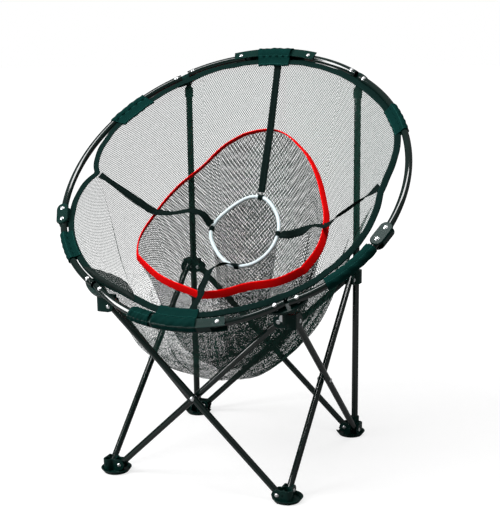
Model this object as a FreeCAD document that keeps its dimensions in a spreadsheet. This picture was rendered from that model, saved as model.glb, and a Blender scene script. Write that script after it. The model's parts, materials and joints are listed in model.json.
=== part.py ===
import FreeCAD, Part

# Golf chipping net on a folding frame: four crossed pairs of legs, two rear posts and a tilted tube ring.
#
# The frame is like that of a round folding chair. Four pairs of crossed legs stand on the four sides of a
# square. Their lower ends meet in four moulded feet, and their upper ends in two front hubs and in two
# sliders that run up the rear posts. A tube ring of eight bent lengths hangs on four saddles, and a net bag
# with a red band and a white ring for targets hangs inside it.
#
# Units are millimetres, +Z is up and +Y points to the rear. The origin lies on the floor under the middle of
# the whole outline; the pieces are worked out from the middle of the four feet, and set back as a whole.

import math
import os

from FreeCAD import Placement, Rotation, Vector

os.makedirs("parts", exist_ok=True)
doc = FreeCAD.newDocument("ChippingNet")

# Driving dimensions, kept in a spreadsheet: alias, value, meaning.
DIMENSIONS = [
    ("stand_back", 21.0, "middle of the four feet behind the middle of the whole outline"),
    ("leg_span", 407.0, "between the two lower pivots of one crossed pair of legs"),
    ("leg_rise", 387.5, "from a lower leg pivot up to the upper one"),
    ("foot_pivot_height", 19.0, "lower leg pivots above the floor"),
    ("corner_offset", 21.5, "from a leg pivot to the corner of the square frame"),
    ("leg_layer", 8.0, "each leg's axis from the plane between the pair"),
    ("leg_tube_dia", 15.0, "leg tube"),
    ("leg_wall", 1.2, "leg tube wall"),
    ("leg_end", 9.0, "leg tube past its end pivot"),
    ("post_dia", 16.0, "rear post tube"),
    ("post_wall", 1.2, "rear post wall"),
    ("post_top_height", 868.0, "top of the rear posts above the floor"),
    ("ring_tube_dia", 16.0, "ring tube"),
    ("ring_wall", 1.2, "ring tube wall"),
    ("ring_end", 8.0, "ring tube past its pivot in a channel or a knuckle"),
    ("saddle_end", 20.0, "ring tube past its pivot on a front saddle"),
    ("rear_saddle_end", 13.0, "ring tube past its pivot on a rear saddle"),
    ("front_ring_rise", 22.5, "the ring's plane over the front tilt pins, square to the plane"),
    ("rear_ring_rise", 18.5, "the ring's plane over the rear tilt pins, square to the plane"),
    ("rivet_dia", 5.0, "rivet shank"),
    ("rivet_head_dia", 10.0, "rivet head"),
    ("rivet_head_height", 2.0, "rivet head"),
    ("running_gap", 0.08, "radial play of a tube on its rivet"),
    ("seat_gap", 0.3, "between pieces that move past each other"),
    ("cheek", 3.5, "wall of a moulded foot, hub or slider beside a leg"),
    ("cheek_gap", 0.5, "between a leg tube and the cheek beside it"),
    ("foot_base_height", 5.5, "floor plate of a foot"),
    ("foot_height", 31.0, "cheeks of a foot above the floor"),
    ("foot_dish_inward", 8.0, "middle of a foot's round floor plate inside the frame corner"),
    ("foot_dish_low", 29.0, "radius of the floor plate on the floor"),
    ("foot_dish_high", 36.0, "radius of the floor plate's raised rim"),
    ("foot_dish_height", 9.5, "raised rim above the floor"),
    ("foot_dish_wall", 3.0, "wall of the raised rim"),
    ("foot_cup_depth", 14.0, "hollow behind each leg in a front foot"),
    ("foot_vent", 1.6, "radius of the small hole in the back of a front foot"),
    ("foot_socket_height", 46.0, "rear foot socket for its post, above the floor"),
    ("socket_wall", 3.2, "wall round a post"),
    ("hub_below", 13.0, "hub or slider below its leg pivots"),
    ("hub_above", 20.0, "hub or slider above its leg pivots"),
    ("block_reach", 34.0, "foot, hub or slider cheeks from the frame corner"),
    ("boss_radius", 9.0, "boss of a hub under the tongue"),
    ("boss_height", 20.0, "boss of a hub under the tongue"),
    ("lug_width", 8.0, "tongue that a saddle tilts on"),
    ("lug_radius", 6.5, "rounded end of the tongue"),
    ("front_pin_forward", 13.0, "front tilt pin in front of the frame corner"),
    ("front_pin_rise", 30.5, "front tilt pin above the hub's leg pivots"),
    ("rear_pin_rise", 14.0, "rear tilt pin above the top of the post"),
    ("cap_length", 26.0, "cap over the top of a post"),
    ("saddle_length", 88.0, "leaf shaped saddle plate"),
    ("saddle_width", 32.0, "leaf shaped saddle plate"),
    ("saddle_thickness", 3.0, "leaf shaped saddle plate"),
    ("saddle_skirt", 4.2, "skirt round the underside of a saddle"),
    ("skirt_wall", 2.4, "skirt round the underside of a saddle"),
    ("ear_thickness", 3.0, "saddle ears beside the tongue"),
    ("channel_wall", 2.2, "wall of a hinge channel"),
    ("channel_inside", 10.0, "hinge channel inside the tubes' axis"),
    ("channel_outside", 13.0, "hinge channel outside the tubes' axis"),
    ("channel_end", 17.0, "hinge channel past its rivets"),
    ("web_clearance", 15.0, "from a rivet to the web of its channel"),
    ("knuckle_radius", 16.0, "rounded plates of the side knuckles"),
    ("knuckle_wall", 3.0, "plates of the side knuckles"),
    ("knuckle_round", 17.5, "ball that rounds the edges of the side knuckles"),
    ("sleeve_wall", 2.6, "fabric wrap round a tube"),
    ("hem_width", 20.0, "hem band of the net"),
    ("hem_thickness", 3.0, "hem band of the net"),
    ("net_thickness", 1.6, "netting, taken as a solid skin"),
    ("net_bottom_height", 196.0, "lowest point of the outer net above the floor"),
    ("red_depth", 100.0, "red band behind the ring's plane"),
    ("red_width", 21.0, "red band"),
    ("red_slope", 62.0, "the red band's face from the ring's plane, in degrees"),
    ("red_thickness", 3.0, "red band"),
    ("white_depth", 165.0, "white ring behind the ring's plane"),
    ("white_tube_dia", 9.0, "white ring tube"),
    ("strap_width", 18.0, "webbing straps"),
    ("strap_thickness", 1.6, "webbing straps"),
]

sheet = doc.addObject("Spreadsheet::Sheet", "Dims")
sheet.set("A1", "name")
sheet.set("B1", "value")
sheet.set("C1", "meaning")
for row, (alias, number, meaning) in enumerate(DIMENSIONS, start=2):
    sheet.set(f"A{row}", alias)
    sheet.set(f"B{row}", str(number))
    sheet.setAlias(f"B{row}", alias)
    sheet.set(f"C{row}", meaning)
doc.recompute()


def size(alias):
    """A driving dimension as a plain number."""
    return float(getattr(sheet, alias))


X_AXIS, Y_AXIS, Z_AXIS = Vector(1, 0, 0), Vector(0, 1, 0), Vector(0, 0, 1)
TURN_Z_TO_X = Rotation(Y_AXIS, 90)
TURN_Z_TO_Y = Rotation(X_AXIS, -90)
NO_TURN = Rotation()

# Places worked out from the driving dimensions.
HALF_SPAN = size("leg_span") / 2
CORNER = HALF_SPAN + size("corner_offset")
LEG_LENGTH = math.hypot(size("leg_span"), size("leg_rise"))
LEG_ANGLE = math.degrees(math.atan2(size("leg_rise"), size("leg_span")))
TOP_PIVOT_HEIGHT = size("foot_pivot_height") + size("leg_rise")
RING_RADIUS = size("ring_tube_dia") / 2
STAND_MIDDLE = Placement(Vector(0, size("stand_back"), 0), NO_TURN)
REAR_PIN = Vector(CORNER, CORNER, size("post_top_height") + size("rear_pin_rise"))
FRONT_PIN = Vector(CORNER, -CORNER - size("front_pin_forward"), TOP_PIVOT_HEIGHT + size("front_pin_rise"))

# The ring's plane passes over the front and the rear tilt pins, which give its tilt and its height.
slope = REAR_PIN - FRONT_PIN
RING_TILT = math.atan2(slope.z, slope.y) - math.asin((size("front_ring_rise") - size("rear_ring_rise")) / slope.Length)
over_pin = FRONT_PIN + Vector(0, -math.sin(RING_TILT), math.cos(RING_TILT)) * size("front_ring_rise")
ring_height = over_pin.z - over_pin.y * math.tan(RING_TILT)
RING_FRAME = Placement(Vector(0, 0, ring_height), Rotation(X_AXIS, math.degrees(RING_TILT)))

# What lies in the ring's plane is drawn for a stand whose corners are 225 mm out and whose tilt pins are
# 642.18 mm apart up the slope, with their middle 28.46 mm below the middle of the ring's frame.
DRAWN_CORNER, DRAWN_PIN_SPAN, DRAWN_PIN_MIDDLE = 225.0, 642.18, -28.46
front_along, rear_along = (RING_FRAME.inverse().multVec(pin).y for pin in (FRONT_PIN, REAR_PIN))
PIN_MIDDLE = (front_along + rear_along) / 2
GROW_ACROSS = CORNER / DRAWN_CORNER
GROW_ALONG = (rear_along - front_along) / DRAWN_PIN_SPAN
GROW = (GROW_ACROSS + GROW_ALONG) / 2

# Pivots of the ring's right half in its own plane: across, and up the slope from the middle.
TOP_PIVOT = (89.0, 356.0)
REAR_INNER_PIVOT = (211.0, 309.0)
REAR_OUTER_PIVOT = (247.0, 282.0)
KNUCKLE_UPPER_PIVOT = (400.0, -146.0)
KNUCKLE_LOWER_PIVOT = (388.0, -176.0)
FRONT_OUTER_PIVOT = (253.0, -334.0)
FRONT_INNER_PIVOT = (211.0, -358.0)
BOTTOM_PIVOT = (98.0, -412.0)

pieces = []


def bind(thing, **sizes):
    """Sets sizes of a document object: text ties a property to cells of the sheet, a number is set as it is."""
    for prop, value in sizes.items():
        if isinstance(value, str):
            words = value.replace("(", " ( ").replace(")", " ) ").split()
            thing.setExpression(prop, " ".join("Dims." + w if w[0].isalpha() else w for w in words))
        else:
            setattr(thing, prop, value)
    return thing


def put(thing, at=(0, 0, 0), turn=NO_TURN):
    thing.Placement = Placement(Vector(*at), turn)
    return thing


def cylinder(radius, height, at=(0, 0, 0), turn=NO_TURN, sweep=None):
    """A cylinder that stands on its place, along its own Z."""
    thing = doc.addObject("Part::Cylinder", "Cylinder")
    bind(thing, Radius=radius, Height=height)
    if sweep is not None:
        thing.Angle = sweep
    return put(thing, at, turn)


def box(length, width, height, at, turn=NO_TURN):
    thing = doc.addObject("Part::Box", "Box")
    bind(thing, Length=length, Width=width, Height=height)
    return put(thing, at, turn)


def cone(low_radius, high_radius, height, at, turn=NO_TURN):
    thing = doc.addObject("Part::Cone", "Cone")
    bind(thing, Radius1=low_radius, Radius2=high_radius, Height=height)
    return put(thing, at, turn)


def ball(radius, at):
    thing = doc.addObject("Part::Sphere", "Ball")
    bind(thing, Radius=radius)
    return put(thing, tuple(at))


def fuse(*things):
    if len(things) == 1:
        return things[0]
    union = doc.addObject("Part::MultiFuse", "Fuse")
    union.Shapes = list(things)
    return union


def cut(base, *tools):
    difference = doc.addObject("Part::Cut", "Cut")
    difference.Base = base
    difference.Tool = fuse(*tools)
    return difference


def common(*things):
    section = doc.addObject("Part::MultiCommon", "Common")
    section.Shapes = list(things)
    return section


def group(*things):
    """Separate solids that share one node."""
    bundle = doc.addObject("Part::Compound", "Compound")
    bundle.Links = list(things)
    return bundle


def keep(name, thing, place=Placement()):
    """Names a finished sub-part and sets it in its place on the stand, whose middle is behind the origin."""
    thing.Label = name
    thing.Placement = STAND_MIDDLE.multiply(place)
    pieces.append(thing)
    return thing


def soft(name, shape):
    """A sewn or netted sub-part, whose shape is made from wires."""
    thing = doc.addObject("Part::Feature", name)
    thing.Shape = shape
    return keep(name, thing)


def rivet(grip, place, low_head=True):
    """A rivet along its own Z: a shank of the grip's length, centred on its place, and a head at each end."""
    solids = [
        cylinder("rivet_dia / 2", grip, (0, 0, -grip / 2)),
        cone("rivet_head_dia / 2", "rivet_dia / 2", "rivet_head_height", (0, 0, grip / 2)),
    ]
    if low_head:
        solids.append(
            cone("rivet_head_dia / 2", "rivet_dia / 2", "rivet_head_height", (0, 0, -grip / 2), Rotation(X_AXIS, 180))
        )
    whole = fuse(*solids)
    whole.Placement = place
    return whole


# Legs: straight tubes, two to each side of the square. The pair of the front side is turned for the others.
SIDES = ["front", "right", "rear", "left"]
CORNERS = ["front_left", "front_right", "rear_right", "rear_left"]


def quarter_turn(index):
    return Placement(Vector(), Rotation(Z_AXIS, 90 * index))


def leg_tube(name, side, outer):
    """One leg. The outer one rises to the left as seen from outside, and carries the rivet of the crossing."""
    length = LEG_LENGTH + 2 * size("leg_end")
    tube = cut(
        cylinder("leg_tube_dia / 2", length, (0, 0, -size("leg_end"))),
        cylinder("leg_tube_dia / 2 - leg_wall", length, (0, 0, -size("leg_end"))),
        *[
            cylinder("rivet_dia / 2 + running_gap", "2 * leg_tube_dia", (0, size("leg_tube_dia"), z), Rotation(X_AXIS, 90))
            for z in ((0, LEG_LENGTH) if outer else (0, LEG_LENGTH / 2, LEG_LENGTH))
        ],
    )
    if outer:
        grip = 2 * size("leg_layer") + size("leg_tube_dia")
        crossing = Placement(Vector(0, size("leg_layer"), LEG_LENGTH / 2), TURN_Z_TO_Y)
        tube = fuse(tube, rivet(grip, crossing))
        lower, layer, lean = HALF_SPAN, -size("leg_layer"), LEG_ANGLE - 90
    else:
        lower, layer, lean = -HALF_SPAN, size("leg_layer"), 90 - LEG_ANGLE
    stand = Placement(Vector(lower, layer - CORNER, size("foot_pivot_height")), Rotation(Y_AXIS, lean))
    return keep(name, tube, quarter_turn(SIDES.index(side)).multiply(stand))


for side in SIDES:
    leg_tube(f"leg_{side}_outer", side, True)
    leg_tube(f"leg_{side}_inner", side, False)

# Feet, hubs and sliders share one moulded core in the corner's own frame: two clevises at right angles, one
# for the leg that leaves along X and one for the leg that leaves along Y.
SLOT = size("leg_tube_dia") + 2 * size("cheek_gap")
BAR = SLOT + 2 * size("cheek")
LEG_SWEEP = math.hypot(size("leg_end"), size("leg_tube_dia") / 2) + size("cheek_gap")
SLOT_START = size("corner_offset") - LEG_SWEEP
BACK_MIDDLE = -0.5
HEAD_RECESS = size("rivet_head_height") + size("seat_gap")
CHEEK_RADIUS = size("block_reach") - size("corner_offset")


def back_place(along_x, middle, height):
    """The middle of a bar's round back."""
    return (BACK_MIDDLE, middle, height) if along_x else (middle, BACK_MIDDLE, height)


def clevis_bars(layer, low, high, pivot):
    """Two bars, round at the back and round the leg pivots in front; the Y bar takes the other layer."""
    bars = []
    for along_x in (True, False):
        middle = layer if along_x else -layer
        start = (BACK_MIDDLE, middle - BAR / 2, low) if along_x else (middle - BAR / 2, BACK_MIDDLE, low)
        reach = size("corner_offset") - BACK_MIDDLE
        sides = (reach, BAR) if along_x else (BAR, reach)
        bars.append(box(sides[0], sides[1], high - low, start))
        bars.append(cylinder(BAR / 2, high - low, back_place(along_x, middle, low)))
        centre = (size("corner_offset"), middle - BAR / 2, pivot)
        if along_x:
            bars.append(cylinder(CHEEK_RADIUS, BAR, centre, TURN_Z_TO_Y))
        else:
            bars.append(cylinder(CHEEK_RADIUS, BAR, (centre[1], centre[0], pivot), TURN_Z_TO_X))
    return bars


def clevis_cuts(layer, low, high, pivot):
    """The slots that the legs turn in, the holes of their rivets and recesses round the rivets' heads."""
    cuts = []
    depth = 2 * size("block_reach")
    hole_radius = "rivet_dia / 2 + running_gap / 2"
    for along_x in (True, False):
        middle = layer if along_x else -layer
        edge = middle - SLOT / 2
        for start in (middle + BAR / 2, middle - BAR / 2 - HEAD_RECESS):
            if along_x:
                at, turn = (size("corner_offset"), start, pivot), TURN_Z_TO_Y
            else:
                at, turn = (start, size("corner_offset"), pivot), TURN_Z_TO_X
            cuts.append(cylinder("rivet_head_dia / 2 + seat_gap", HEAD_RECESS, at, turn))
        if along_x:
            cuts.append(box(depth, SLOT, high - low, (SLOT_START, edge, low)))
            cuts.append(cylinder(hole_radius, 2 * BAR, (size("corner_offset"), middle - BAR, pivot), TURN_Z_TO_Y))
        else:
            cuts.append(box(SLOT, depth, high - low, (edge, SLOT_START, low)))
            cuts.append(cylinder(hole_radius, 2 * BAR, (middle - BAR, size("corner_offset"), pivot), TURN_Z_TO_X))
    return cuts


def clevis_rivets(name, layer, pivot, place):
    """The two leg rivets of one corner, as one group."""
    along_y = rivet(BAR, Placement(Vector(size("corner_offset"), layer, pivot), TURN_Z_TO_Y))
    along_x = rivet(BAR, Placement(Vector(-layer, size("corner_offset"), pivot), TURN_Z_TO_X))
    return keep(name, group(along_y, along_x), place)


def corner_place(index):
    """A corner's own frame, from the front left one on: X along one side of the square, Y along the other."""
    return quarter_turn(index).multiply(Placement(Vector(-CORNER, -CORNER, 0), NO_TURN))


def foot(index, corner):
    """A moulded foot: a round floor plate with a raised rim, two clevises, and at the rear a post socket."""
    middle = (size("foot_dish_inward"), size("foot_dish_inward"))
    inner_low = "foot_dish_low + (foot_dish_high - foot_dish_low) * foot_dish_wall / foot_dish_height - foot_dish_wall"
    inner_high = inner_low + " + foot_dish_high - foot_dish_low"
    plate = cut(
        cone("foot_dish_low", "foot_dish_high", "foot_dish_height", (*middle, 0)),
        cone(inner_low, inner_high, "foot_dish_height", (*middle, size("foot_dish_wall"))),
    )
    pivot, layer = size("foot_pivot_height"), size("leg_layer")
    solids = [plate] + clevis_bars(layer, 0, size("foot_height"), pivot)
    holes = clevis_cuts(layer, size("foot_base_height"), 2 * size("foot_socket_height"), pivot)
    if corner.startswith("rear"):
        solids.append(cylinder("post_dia / 2 + socket_wall", "foot_socket_height"))
        holes.append(cylinder("post_dia / 2", "foot_socket_height", (0, 0, size("cheek"))))
    else:
        cup_floor = size("foot_height") - size("foot_cup_depth")
        vent_height = cup_floor + 2 * size("foot_vent")
        for along_x, across in ((True, layer), (False, -layer)):
            holes.append(cylinder(SLOT / 2, 2 * size("foot_cup_depth"), back_place(along_x, across, cup_floor)))
            mouth = back_place(along_x, across, vent_height)
            outside = (mouth[0] - BAR, mouth[1], mouth[2]) if along_x else (mouth[0], mouth[1] - BAR, mouth[2])
            holes.append(cylinder("foot_vent", BAR, outside, TURN_Z_TO_X if along_x else TURN_Z_TO_Y))
    keep(f"foot_{corner}", cut(fuse(*solids), *holes), corner_place(index))
    clevis_rivets(f"rivets_foot_{corner}", layer, pivot, corner_place(index))


def upper_core(index, *more):
    """The core of a hub or slider, whose legs hang down from it; more are solids that are added."""
    pivot = TOP_PIVOT_HEIGHT
    low, high = pivot - size("hub_below"), pivot + size("hub_above")
    solids = clevis_bars(-size("leg_layer"), low, high, pivot) + list(more)
    holes = clevis_cuts(-size("leg_layer"), low - BAR, pivot + CHEEK_RADIUS, pivot)
    core = cut(fuse(*solids), *holes)
    core.Placement = corner_place(index)
    return core


def tilt_lug(pin, low):
    """A tongue across X, rounded about the pin, that rises from the height low; it has the pin's hole."""
    wide, radius = size("lug_width"), size("lug_radius")
    tongue = box("lug_width", "2 * lug_radius", pin.z - low, (pin.x - wide / 2, pin.y - radius, low))
    head = cylinder("lug_radius", "lug_width", (pin.x - wide / 2, pin.y, pin.z), TURN_Z_TO_X)
    hole = cylinder("rivet_dia / 2 + running_gap", "3 * lug_width", (pin.x - 1.5 * wide, pin.y, pin.z), TURN_Z_TO_X)
    return cut(fuse(tongue, head), hole)


def mirrored(point, side):
    """A point of the right half, or its twin on the left."""
    return Vector(point.x if side == "right" else -point.x, point.y, point.z)


for index, corner in enumerate(CORNERS):
    foot(index, corner)

for side in ("left", "right"):
    # Front hubs, with the tongue that the saddle tilts on.
    index = CORNERS.index(f"front_{side}")
    pin = mirrored(FRONT_PIN, side)
    top = TOP_PIVOT_HEIGHT + size("hub_above")
    under_lug = Vector(pin.x, pin.y + size("lug_width") / 2, top - size("boss_height"))
    boss = cylinder("boss_radius", "boss_height", tuple(corner_place(index).inverse().multVec(under_lug)))
    lug = tilt_lug(pin, top - size("cheek"))
    keep(f"hub_front_{side}", fuse(upper_core(index, boss), lug))
    clevis_rivets(f"rivets_hub_{side}", -size("leg_layer"), TOP_PIVOT_HEIGHT, corner_place(index))

    # Sliders, with a collar that runs on the rear post.
    index = CORNERS.index(f"rear_{side}")
    low = TOP_PIVOT_HEIGHT - size("hub_below")
    height = size("hub_below") + size("hub_above")
    collar = cylinder("post_dia / 2 + seat_gap + socket_wall", height, (0, 0, low))
    bore = cylinder("post_dia / 2 + seat_gap", 3 * height, (0, 0, low - height))
    bore.Placement = corner_place(index).multiply(bore.Placement)
    keep(f"slider_{side}", cut(upper_core(index, collar), bore))
    clevis_rivets(f"rivets_slider_{side}", -size("leg_layer"), TOP_PIVOT_HEIGHT, corner_place(index))

    # Rear post and the cap on its top.
    post = mirrored(Vector(CORNER, CORNER, size("cheek")), side)
    length = size("post_top_height") - size("cheek")
    keep(
        f"post_{side}",
        cut(
            cylinder("post_dia / 2", length, tuple(post)),
            cylinder("post_dia / 2 - post_wall", length, tuple(post)),
        ),
    )
    pin = mirrored(REAR_PIN, side)
    shoulder = size("post_top_height")
    cap_low = shoulder - size("cap_length") + size("socket_wall")
    cap = cut(
        fuse(
            cylinder("post_dia / 2 + socket_wall - 0.7", shoulder - cap_low, (post.x, post.y, cap_low)),
            cone("post_dia / 2 + socket_wall - 0.7", "post_dia / 2 - 2", "socket_wall", (post.x, post.y, shoulder)),
        ),
        cylinder("post_dia / 2", shoulder - cap_low, (post.x, post.y, cap_low)),
    )
    keep(f"post_cap_{side}", fuse(cap, tilt_lug(pin, shoulder + size("socket_wall") / 2)))


# The ring and its hinges are made flat, in the ring's own frame, and tilted as a whole by their placement.
DRAWN_RING_MIDDLE = (0.0, -19.0)


def in_ring(across, along, height=0.0):
    """A point in the ring's own frame, from where it is drawn to where the size of the stand puts it."""
    return Vector(across * GROW_ACROSS, PIN_MIDDLE + (along - DRAWN_PIN_MIDDLE) * GROW_ALONG, height)


RING_MIDDLE = in_ring(*DRAWN_RING_MIDDLE)


def flat(point, side="right", height=0.0):
    """A point of the ring's plane, on the right half or mirrored to the left."""
    return in_ring(point[0] if side == "right" else -point[0], point[1], height)


class Bend:
    """A circular arc in the ring's plane through two pivots, bulging away from the ring's middle."""

    def __init__(self, start, end, drawn_radius):
        radius = drawn_radius * GROW
        self.start, self.end, self.radius = start, end, radius
        chord = end - start
        middle = (start + end) * 0.5
        outward = Vector(chord.y, -chord.x, 0).normalize()
        if outward.dot(middle - RING_MIDDLE) < 0:
            outward = outward * -1
        self.outward = outward
        self.centre = middle - outward * math.sqrt(radius**2 - chord.Length**2 / 4)
        self.first = self.angle_of(start)
        self.turn = (self.angle_of(end) - self.first + 180) % 360 - 180

    def angle_of(self, point):
        arm = point - self.centre
        return math.degrees(math.atan2(arm.y, arm.x))

    def span(self, before, after):
        """Start angle and sweep, counter-clockwise, from one distance along the arc to another."""
        along = math.degrees(1 / self.radius)
        length = abs(self.turn) / along
        low, high = (before, length + after) if self.turn > 0 else (-after - length, -before)
        return self.first + low * along, (high - low) * along

    def length(self):
        return math.radians(abs(self.turn)) * self.radius


def ring_torus(bend, radius, before, after, outward=0.0):
    """A bent rod along a bend, from the distance before, up to the distance after its end."""
    start, sweep = bend.span(before, after)
    rod = doc.addObject("Part::Torus", "Torus")
    bind(rod, Radius1=bend.radius + outward, Radius2=radius, Angle3=sweep)
    return put(rod, tuple(bend.centre), Rotation(Z_AXIS, start))


def ring_band(bend, inner, outer, low, height, before, after):
    """A flat curved bar along a bend, between two radii and from one height up."""
    start, sweep = bend.span(before, after)
    turn = Rotation(Z_AXIS, start)
    at = (bend.centre.x, bend.centre.y, low)
    return cut(
        cylinder(outer, height, at, turn, sweep),
        cylinder(inner, 3 * height, (at[0], at[1], low - height), turn),
    )


def pivot_hole(point):
    depth = 2 * size("ring_tube_dia")
    return cylinder("rivet_dia / 2 + running_gap", depth, (point.x, point.y, -depth / 2))


def ring_tube(name, bend, first_end, last_end, fixed_rivet=None):
    """One bent length of the ring, which ends so far past its two pivots.

    Where fixed_rivet names a pivot, its rivet stays with the tube.
    """
    bore = "ring_tube_dia / 2 - ring_wall"
    open_ends = [p for p in (bend.start, bend.end) if p is not fixed_rivet]
    tube = cut(
        ring_torus(bend, "ring_tube_dia / 2", -first_end, last_end),
        ring_torus(bend, bore, -first_end, last_end),
        *[pivot_hole(p) for p in open_ends],
    )
    if fixed_rivet is not None:
        grip = size("ring_tube_dia")
        tube = fuse(tube, rivet(grip, Placement(fixed_rivet, NO_TURN), low_head=False))
    return keep(name, tube, RING_FRAME)


def wrap(name, bend, first, last):
    """A fabric sleeve sewn round a ring tube, between two shares of its length from pivot to pivot."""
    length = bend.length()
    outer = ring_torus(bend, "ring_tube_dia / 2 + sleeve_wall", first * length, (last - 1) * length)
    inner = ring_torus(bend, "ring_tube_dia / 2", first * length - 1, (last - 1) * length + 1)
    return keep(name, cut(outer, inner), RING_FRAME)


def channel_form(bend, half, before, after, outside, inside):
    """A bar along a bend with a square section, up to so far inside and outside the bend."""
    inner, outer = bend.radius - inside, bend.radius + outside
    return ring_band(bend, inner, outer, -half, 2 * half, before, after)


def hinge_channel(name, pivot, radius):
    """A channel across the ring's top or bottom; its two rivets hold the tubes' ends."""
    bend = Bend(flat(pivot, "left"), flat(pivot), radius)
    slot = RING_RADIUS + size("seat_gap")
    wall, end, web_gap = size("channel_wall"), size("channel_end"), size("web_clearance")
    inside, outside = size("channel_inside"), size("channel_outside")
    half = slot + wall
    body = channel_form(bend, half, -end, end, outside, inside)
    hollow = channel_form(bend, slot, -end - 1, end + 1, outside - wall, inside + 1)
    length = bend.length()
    mouths = [
        ring_band(bend, bend.radius, bend.radius + outside + 1, -slot, 2 * slot, before, after)
        for before, after in ((-end - 1, web_gap - length), (length - web_gap, end + 1))
    ]
    holes = [cylinder("rivet_dia / 2", 4 * slot, (p.x, p.y, -2 * slot)) for p in (bend.start, bend.end)]
    keep(name, cut(body, hollow, *mouths, *holes), RING_FRAME)
    left = rivet(2 * half, Placement(flat(pivot, "left"), NO_TURN))
    heads = []
    for turn, height in ((NO_TURN, slot), (Rotation(X_AXIS, 180), -slot)):
        foot_of_head = Placement(flat(pivot, "right", height), turn)
        plug = cylinder("rivet_dia / 2", "channel_wall")
        head = cone("rivet_head_dia / 2", "rivet_dia / 2", "rivet_head_height", (0, 0, wall))
        heads.append(fuse(plug, head))
        heads[-1].Placement = foot_of_head
    keep(f"rivets_{name}", group(left, *heads), RING_FRAME)
    return bend


def channel_wrap(name, bend, reach):
    """A fabric sleeve round the middle of a hinge channel."""
    half = RING_RADIUS + size("seat_gap") + size("channel_wall")
    inside, outside, wall = size("channel_inside"), size("channel_outside"), size("sleeve_wall")
    trim = bend.length() / 2 - reach
    skin = channel_form(bend, half + wall, trim, -trim, outside + wall, inside + wall)
    hole = channel_form(bend, half, trim - 1, 1 - trim, outside, inside)
    return keep(name, cut(skin, hole), RING_FRAME)


def knuckle(side):
    """A side knuckle: two round-edged plates with a web outside and a boss between its two pivots."""
    upper, lower = flat(KNUCKLE_UPPER_PIVOT, side), flat(KNUCKLE_LOWER_PIVOT, side)
    along = lower - upper
    middle = (upper + lower) * 0.5
    outward = Vector(along.y, -along.x, 0).normalize()
    if outward.dot(middle - RING_MIDDLE) < 0:
        outward = outward * -1
    slot, wall, radius = RING_RADIUS + size("seat_gap"), size("knuckle_wall"), size("knuckle_radius")
    turn = Rotation(Z_AXIS, math.degrees(math.atan2(along.y, along.x)))
    corner = upper + turn.multVec(Vector(0, -radius, 0))
    solids = []
    for low in (slot, -slot - wall):
        solids.append(cylinder("knuckle_radius", "knuckle_wall", (upper.x, upper.y, low)))
        solids.append(cylinder("knuckle_radius", "knuckle_wall", (lower.x, lower.y, low)))
        solids.append(box(along.Length, "2 * knuckle_radius", "knuckle_wall", (corner.x, corner.y, low), turn))
    web_thickness = radius - size("web_clearance") + 1.5
    outside = radius - web_thickness if turn.multVec(Y_AXIS).dot(outward) > 0 else -radius
    web_corner = upper + turn.multVec(Vector(0, outside, 0))
    web_corner.z = -slot - wall
    solids.append(box(along.Length, web_thickness, 2 * (slot + wall), tuple(web_corner), turn))
    solids.append(cylinder(1.8, 2 * slot, (middle.x, middle.y, -slot)))
    rounding = [ball("knuckle_round", point) for point in (upper, lower)]
    rod = cylinder("knuckle_round", along.Length, tuple(upper), turn.multiply(TURN_Z_TO_X))
    rivets = [rivet(2 * (slot + wall), Placement(point, NO_TURN)) for point in (upper, lower)]
    return keep(f"knuckle_{side}", fuse(common(fuse(*solids), fuse(rod, *rounding)), *rivets), RING_FRAME)


def leaf(length, width, low, height, middle, turn):
    """A leaf shaped plate along its own X: what two round plates have in common."""
    radius = (length**2 + width**2) / (4 * width)
    offset = turn.multVec(Vector(0, radius - width / 2, 0))
    centres = [(middle.x + sign * offset.x, middle.y + sign * offset.y, low) for sign in (-1, 1)]
    return common(*[cylinder(radius, height, centre) for centre in centres])


def saddle(where, side, inner, outer, pin, rivet_points):
    """A leaf shaped tray under the ring, with a skirt, and two ears and a pin on which it tilts."""
    inner, outer = flat(inner, side), flat(outer, side)
    middle = (inner + outer) * 0.5
    chord = outer - inner
    turn = Rotation(Z_AXIS, math.degrees(math.atan2(chord.y, chord.x)))
    length, width, thickness = size("saddle_length"), size("saddle_width"), size("saddle_thickness")
    skirt, wall = size("saddle_skirt"), size("skirt_wall")
    top = -RING_RADIUS - size("seat_gap")
    low = top - thickness
    tray = cut(
        leaf(length, width, low - skirt, skirt + thickness, middle, turn),
        leaf(length - 6 * wall, width - 2 * wall, low - 2 * skirt, 2 * skirt, middle, turn),
    )
    local_pin = RING_FRAME.inverse().multVec(pin)
    radius = size("lug_radius")
    ear_start = size("lug_width") / 2 + size("seat_gap")
    solids = [tray]
    for x in (local_pin.x + ear_start, local_pin.x - ear_start - size("ear_thickness")):
        solids.append(
            box("ear_thickness", "2 * lug_radius", top - local_pin.z, (x, local_pin.y - radius, local_pin.z))
        )
        solids.append(cylinder("lug_radius", "ear_thickness", (x, local_pin.y, local_pin.z), TURN_Z_TO_X))
    pin_grip = 2 * (ear_start + size("ear_thickness"))
    solids.append(rivet(pin_grip, Placement(local_pin, TURN_Z_TO_X)))
    for point in rivet_points:
        grip = size("ring_tube_dia") + size("seat_gap") + thickness
        solids.append(rivet(grip, Placement(flat(point, side, (RING_RADIUS + low) / 2), NO_TURN)))
    return keep(f"saddle_{where}_{side}", fuse(*solids), RING_FRAME)


TOP_BEND = hinge_channel("channel_top", TOP_PIVOT, 395.0)
BOTTOM_BEND = hinge_channel("channel_bottom", BOTTOM_PIVOT, 410.0)
channel_wrap("wrap_top", TOP_BEND, 42.0)
channel_wrap("wrap_bottom", BOTTOM_BEND, 50.0)

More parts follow.
